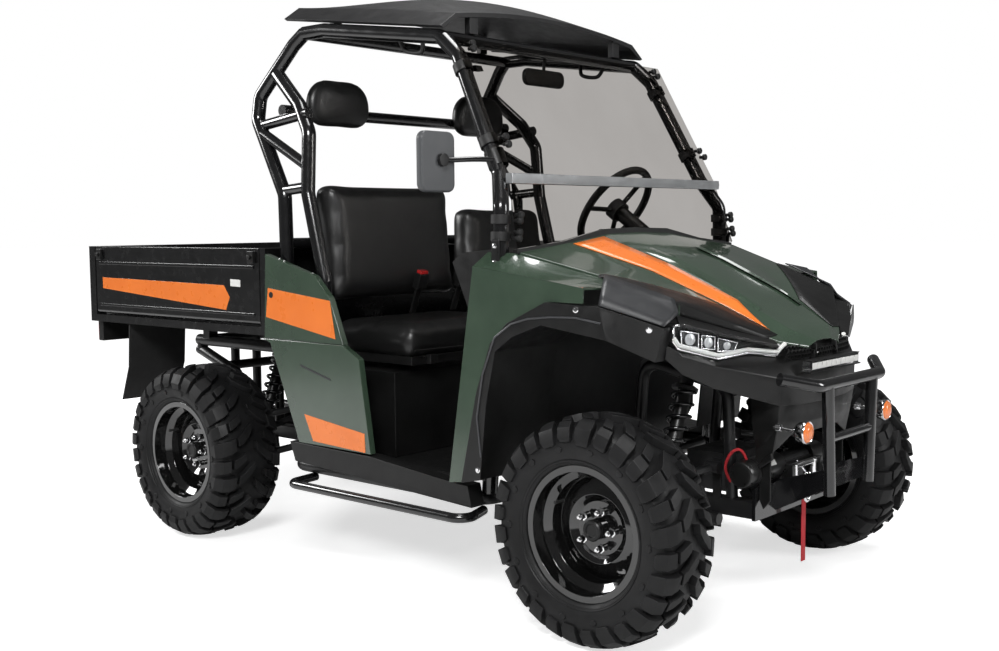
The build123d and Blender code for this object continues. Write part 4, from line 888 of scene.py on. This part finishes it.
def honeycomb():
    """Dark backing and hexagonal cells under the bonnet's lip, and the light bar's cells and frame."""
    backing = bmesh.new()
    outline = mm((302, -214), (320, 0), (302, 214), (298, 214), (314, 0), (298, -214))
    add_prism(backing, [(front_axle + x, y, 0.797) for x, y in outline], (0, 0, 0.038))
    piece("grille_backing", backing, "black_plastic")
    bm = bmesh.new()
    pitch = 0.0165
    for row in range(3):
        for column in range(-12, 13):
            y = (column + 0.5 * (row % 2)) * pitch
            z = 0.798 + row * 0.0128
            if abs(y) > 0.205 or (0.048 < abs(y) < 0.088) or (abs(y) < 0.1 and z > 0.815):
                continue
            plate = front_axle + 0.346 - 0.55 * y * y - (0.010 if z > 0.815 else 0.0)
            stamp(bm, mm((0, 7.6), (6, 8.6), (6, 6.8), (0, 6.6)), (plate, y, z), (1, 0, 0), 6, closed=True)
    piece("grille_cells", bm, "black_plastic")
    cells = bmesh.new()
    low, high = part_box("light_bar")
    for index in range(10):
        width = (high.y - low.y - 0.02) / 10
        start = low.y + 0.01 + index * width
        add_box(cells, (high.x + 0.0004, start + 0.002, low.z + 0.005),
                (high.x + 0.004, start + width - 0.002, high.z - 0.005))
    piece("light_bar_cells", cells, "pale_label", bevel=0.001)
    frame_bar = bmesh.new()
    add_box(frame_bar, (low.x + 0.004, low.y + 0.002, high.z + 0.0004),
            (high.x + 0.004, high.y - 0.002, high.z + 0.004))
    add_box(frame_bar, (low.x - 0.002, low.y - 0.004, low.z - 0.005),
            (high.x + 0.005, high.y + 0.004, low.z - 0.0004))
    piece("light_bar_frame", frame_bar, "black_plastic", bevel=0.001)


def front_lamps():
    """Amber lens in a chrome bowl on a stalk at each side of the nose."""
    face = front_axle + 0.4525 - 0.023
    dome = mm((-4, 0), (-4, 28.5), (3, 29), (7, 26), (8, 22), (7.5, 19.5), (10, 17), (11, 10), (10.8, 0))
    shell = mm((-38, 0), (-38, 10), (-33, 21), (-22, 29), (-6, 32.5), (1, 33.5), (4, 32), (2, 29), (-4, 28.5))
    for name, side in sides:
        centre = Vector((face, side * 0.268, 0.596))
        lens, bowl, stalk = bmesh.new(), bmesh.new(), bmesh.new()
        add_lathe(lens, dome, centre, (1, 0, 0), 48)
        add_lathe(bowl, shell, centre, (1, 0, 0), 48)
        add_rod(stalk, (front_axle + 0.322, side * 0.262, 0.600), centre + Vector((-0.036, 0, 0)), 0.006)
        add_lathe(stalk, mm((0, 0), (0, 12), (14, 10), (16, 0)), (front_axle + 0.330, side * 0.262, 0.600),
                  (1, 0, 0), 24)
        piece(name + "_amber_lens", lens, "amber_lens", ["front_indicators"])
        piece(name + "_lamp_bowl", bowl, "bright_chrome")
        piece(name + "_lamp_stalk", stalk, "bright_chrome")


def springs():
    """Coil spring, brass collar and dark cup on each shock absorber."""
    for index, points in enumerate(islands("shock_absorbers")):
        low, high = min(p.z for p in points), max(p.z for p in points)
        start, stop = [sum(group, Vector()) / len(group) for group in
                       ([p for p in points if p.z < low + 0.03], [p for p in points if p.z > high - 0.03])]
        axis = (stop - start).normalized()
        length = (stop - start).length
        first, second = start + axis * length * 0.16, start + axis * length * 0.90
        side = axis.orthogonal().normalized()
        other = axis.cross(side)
        turns, coil_radius = 9, 0.034
        path = []
        for step in range(turns * 16 + 1):
            share = step / (turns * 16)
            turn = math.tau * turns * share
            swing = coil_radius * (side * math.cos(turn) + other * math.sin(turn))
            path.append(first + (second - first) * share + swing)
        wire(f"spring_{index + 1}", path, 0.0055, "cage_paint")
        collar = bmesh.new()
        add_lathe(collar, mm((-10, 0), (-10, 40), (-3, 42), (0, 40), (0, 0)), first, axis, 32)
        piece(f"spring_collar_{index + 1}", collar, "brass")
        cup = bmesh.new()
        add_lathe(cup, mm((0, 0), (0, 40), (10, 41), (16, 30), (16, 0)), second, axis, 32)
        piece(f"spring_cup_{index + 1}", cup, "black_metal")


# ---- Cab trim ----
def knobs():
    """Black star knobs on the windscreen's clamps."""
    bm = bmesh.new()
    spots = mm((483, 513, 1770), (495, 522, 1752), (660, 559, 1464), (678, 566, 1440), (764, 612, 1222),
               (764, 616, 1205), (766, 621, 1170), (768, 626, 1152))
    for side in (-1, 1):
        for x, y, z in spots:
            stamp(bm, mm((-16, 0), (-16, 6), (0, 6), (0, 12), (10, 12), (13, 8), (13, 0)),
                  (x + 0.006, side * y, z), (1, 0, 0), 10)
    piece("windscreen_knobs", bm, "black_plastic", bevel=0.001)


def rounded_plate(bm, low, high, corner):
    """A plate whose corners, seen from the front, are rounded."""
    add_box(bm, low, high)
    spans = [(edge, edge.verts[0].co - edge.verts[1].co) for edge in bm.edges]
    edges = [edge for edge, span in spans if abs(span.x) > 0.0005 and abs(span.y) < 1e-6]
    bmesh.ops.bevel(bm, geom=edges, offset=corner, segments=6, profile=0.5, affect="EDGES", material=-1)


def mirrors():
    """Rounded mirror shells with their glass, the arm and the clamps."""
    y, z = -0.755, 1.390
    front_x = front_axle - 0.545
    outer, glass, inner, inner_glass, clamp = (bmesh.new() for _ in range(5))
    rounded_plate(outer, (front_x - 0.026, y - 0.073, z - 0.097), (front_x, y + 0.073, z + 0.087), 0.026)
    piece("side_mirror_shell", outer, "mirror_grey", ["side_mirror"], bevel=0.007)
    rounded_plate(glass, (front_x - 0.0275, y - 0.064, z - 0.088), (front_x - 0.0262, y + 0.064, z + 0.078), 0.020)
    piece("side_mirror_glass", glass, "bright_chrome")
    pillar = (front_axle - 0.479, -0.5665, 1.395)
    arm = [(pillar[0] + 0.012, pillar[1] - 0.024, 1.393), (pillar[0] - 0.010, pillar[1] - 0.075, 1.395),
           (front_x - 0.002, y + 0.030, z), (front_x + 0.004, y + 0.010, z)]
    wire("side_mirror_arm", arm, 0.008, "cage_paint", smooth=True)
    along_pillar = Vector((-0.202, 0.037, 0.382)).normalized()
    add_lathe(clamp, mm((-28, 25.4), (-28, 32), (28, 32), (28, 25.4)), pillar, along_pillar, 32, closed=True)
    add_rod(clamp, (front_x + 0.001, y + 0.012, z), (front_x + 0.014, y + 0.012, z), 0.020)
    piece("side_mirror_clamp", clamp, "black_metal", bevel=0.001)
    x = front_axle - 0.731
    rounded_plate(inner, (x - 0.028, -0.112, 1.682), (x - 0.010, 0.112, 1.742), 0.026)
    piece("cabin_mirror_shell", inner, "black_plastic", ["cabin_mirror"], bevel=0.006)
    rounded_plate(inner_glass, (x - 0.0295, -0.104, 1.690), (x - 0.0282, 0.104, 1.734), 0.020)
    piece("cabin_mirror_glass", inner_glass, "bright_chrome")
    stem = [(x - 0.018, 0, 1.728), (x - 0.018, 0, 1.755), (x - 0.010, 0, 1.785)]
    wire("cabin_mirror_stem", stem, 0.006, "black_plastic", smooth=True)


def cab_trim():
    """Screen bar, grab handles, buckles, and the pillar foot plates with their screws."""
    bar = bmesh.new()
    x = front_axle - 0.404
    rounded = [(x - 0.008, 1.318), (x + 0.018, 1.318), (x + 0.020, 1.334), (x + 0.018, 1.350), (x - 0.008, 1.350)]
    add_prism(bar, [(px, -0.601, pz) for px, pz in rounded], (0, 1.202, 0))
    piece("screen_bar", bar, "brushed_bar", bevel=0.002)
    for name, side in sides:
        y = side * 0.505
        loop = [(0.150, y, 1.823), (0.155, y - side * 0.012, 1.792), (0.175, y - side * 0.016, 1.776),
                (0.235, y - side * 0.016, 1.766), (0.255, y - side * 0.012, 1.776), (0.262, y, 1.806)]
        wire(name + "_grab_handle", loop, 0.0075, "black_rubber", smooth=True)
    for name, y in (("passenger", -0.228), ("driver", -0.008)):
        stalk, button = bmesh.new(), bmesh.new()
        for bm, half, outline in ((stalk, 0.014, mm((-90, 866), (-80, 866), (-40, 972), (-50, 974))),
                                  (stalk, 0.023, mm((-62, 962), (-32, 956), (-14, 1010), (-44, 1018))),
                                  (button, 0.018, mm((-42, 1017.5), (-17, 1011), (-14, 1024), (-38, 1030)))):
            add_prism(bm, [(x, y - half, z) for x, z in outline], (0, 2 * half, 0))
        piece(name + "_buckle", stalk, "black_plastic", bevel=0.003)
        piece(name + "_buckle_button", button, "red_lens", bevel=0.002)
    plates = bmesh.new()
    for side in (-1, 1):
        add_box(plates, (0.706, side * 0.664, 1.060), (0.738, side * 0.672, 1.150))
        add_box(plates, (0.700, side * 0.650, 1.050), (0.752, side * 0.668, 1.084))
    piece("pillar_plates", plates, "black_metal", bevel=0.004)
    for name, side in (("pillar_screws", -1), ("left_pillar_screws", 1)):
        places = [(0.722, side * 0.672, z) for z in (1.080, 1.130)]
        screws(name, places, (0, side, 0), 0.007, "bright_chrome")


def flat_patch(name, outline, y, thickness, body, finish):
    """A thin patch on a side face, from (x, z) points; both sides get one."""
    for label, side in sides:
        bm = bmesh.new()
        add_prism(bm, [(x, side * y, z) for x, z in outline], (0, side * thickness, 0))
        rides = body if isinstance(body, str) else body[label]
        piece(f"{label}_{name}", bm, finish, bevel=0.0004, body=rides)


def side_trim():
    """Orange bands on the bed and cab sides, the filler hole, the panel slot and a label."""
    gates = {"left": "left_gate", "right": "right_gate"}
    hole = [math.tau * step / 16 for step in range(16)]
    hole = [(-0.295 + 0.011 * math.cos(turn), 0.951 + 0.011 * math.sin(turn)) for turn in hole]
    flat_patch("bed_band", mm((-1440, 986), (-600, 976), (-566, 932), (-590, 884), (-1440, 941)), 0.7002, 0.001,
               gates, "orange_film")
    flat_patch("quarter_band", mm((-313, 975), (20, 941), (45, 812), (-327, 871)), 0.7202, 0.001, "chassis",
               "orange_film")
    flat_patch("step_patch", mm((-117, 543), (190, 507), (193, 443), (-72, 453)), 0.7282, 0.001, "chassis",
               "orange_film")
    flat_patch("filler_hole", hole, 0.7213, 0.0012, "chassis", "black_plastic")
    flat_patch("lower_panel_slot", mm((-133, 716), (24, 677), (24, 670), (-133, 709)), 0.7282, 0.0012, "chassis",
               "satin_grey")
    flat_patch("bed_label", mm((-560, 1000), (-500, 998), (-500, 972), (-560, 974)), 0.7002, 0.0008, gates,
               "pale_label")


def side_hit(node, x, z, side):
    """Where a ray from the side meets a CAD node, with the outward normal there."""
    cad = nodes[node]
    tree = BVHTree.FromPolygons([cad.matrix_world @ v.co for v in cad.data.vertices],
                                [tuple(p.vertices) for p in cad.data.polygons])
    place, normal, _, _ = tree.ray_cast(Vector((x, side * 1.2, z)), Vector((0, -side, 0)))
    return place, normal


def flare_trim():
    """Screws along each front flare and the raised line inside them."""
    for name, side in sides:
        bm = bmesh.new()
        for x, z in mm((769, 878), (892, 944), (1056, 953), (1241, 899), (695, 609), (725, 460), (722, 745)):
            place, normal = side_hit("front_wheel_arches", x, z, side)
            if place is None:
                continue
            stamp(bm, mm((-2, 0), (-2, 9.5), (1.5, 9), (2.5, 6), (4.5, 5), (4.5, 0)), place, normal, 20)
        piece(name + "_flare_screws", bm, "bright_chrome")
        path = []
        for x, z in mm((752, 400), (738, 500), (722, 620), (745, 750), (790, 862), (850, 905), (905, 922),
                       (980, 930), (1056, 930), (1130, 916)):
            place, normal = side_hit("front_wheel_arches", x, z, side)
            if place is not None:
                path.append(place + normal * 0.001)
        if len(path) > 2:
            wire(name + "_flare_line", path, 0.003, "grey_plastic")


def bed_trim():
    """Pressed rails and corner latches of the side gates, and the tail lamp housings."""
    low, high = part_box("right_side_gate")
    for label, side, body in (("right", -1, "right_gate"), ("left", 1, "left_gate")):
        rails, latch = bmesh.new(), bmesh.new()
        y = side * 0.7002
        for z0, z1 in ((1.040, 1.052), (0.868, 0.878)):
            outline = [(low.x + 0.03, y, z0), (high.x - 0.03, y, z0), (high.x - 0.03, y, z1), (low.x + 0.03, y, z1)]
            add_prism(rails, outline, (0, side * 0.004, 0))
        piece(label + "_gate_rails", rails, "bed_paint", bevel=0.0015, body=body)
        for x in (high.x - 0.055, low.x + 0.020):
            outline = [(x, y, 1.060), (x + 0.034, y, 1.060), (x + 0.034, y, 1.104), (x, y, 1.104)]
            add_prism(latch, outline, (0, side * 0.012, 0))
            add_rod(latch, (x + 0.017, y + side * 0.012, 1.082), (x + 0.017, y + side * 0.022, 1.082), 0.008)
        piece(label + "_gate_latches", latch, "black_metal", bevel=0.002, body=body)
    for label, points in zip(("first", "second"), islands("tail_lamps")):
        corner = Vector([min(p[axis] for p in points) for axis in range(3)])
        far = Vector([max(p[axis] for p in points) for axis in range(3)])
        shell = bmesh.new()
        add_box(shell, (corner.x + 0.006, corner.y - 0.004, corner.z - 0.004),
                (far.x + 0.002, far.y + 0.004, far.z + 0.004))
        piece(label + "_tail_housing", shell, "black_plastic", bevel=0.003, body="bed")


place_camera()
studio()
finishes = make_finishes()
slot_of = {part["node"]: part["material_slot"] for part in frame["record"]["subparts"]}
for node, cad in nodes.items():
    cad.data.materials.clear()
    cad.data.materials.append(finishes[slot_of[node]])
for node in """front_fenders fender_caps front_wheel_arches rear_quarter_panels lower_side_panels sill_covers
            seat_box dashboard bed_tub left_side_gate right_side_gate tailgate roof_panel roll_cage bull_bar
            light_bar mud_flaps floor_pan windscreen_fittings steering_wheel chassis_frame""".split():
    soften(node)
wheels()
seats()
bonnet_trim()
bonnet_shade()
wing_caps()
headlamps()
honeycomb()
nose()
winch()
strap()
front_lamps()
springs()
knobs()
mirrors()
cab_trim()
side_trim()
flare_trim()
bed_trim()
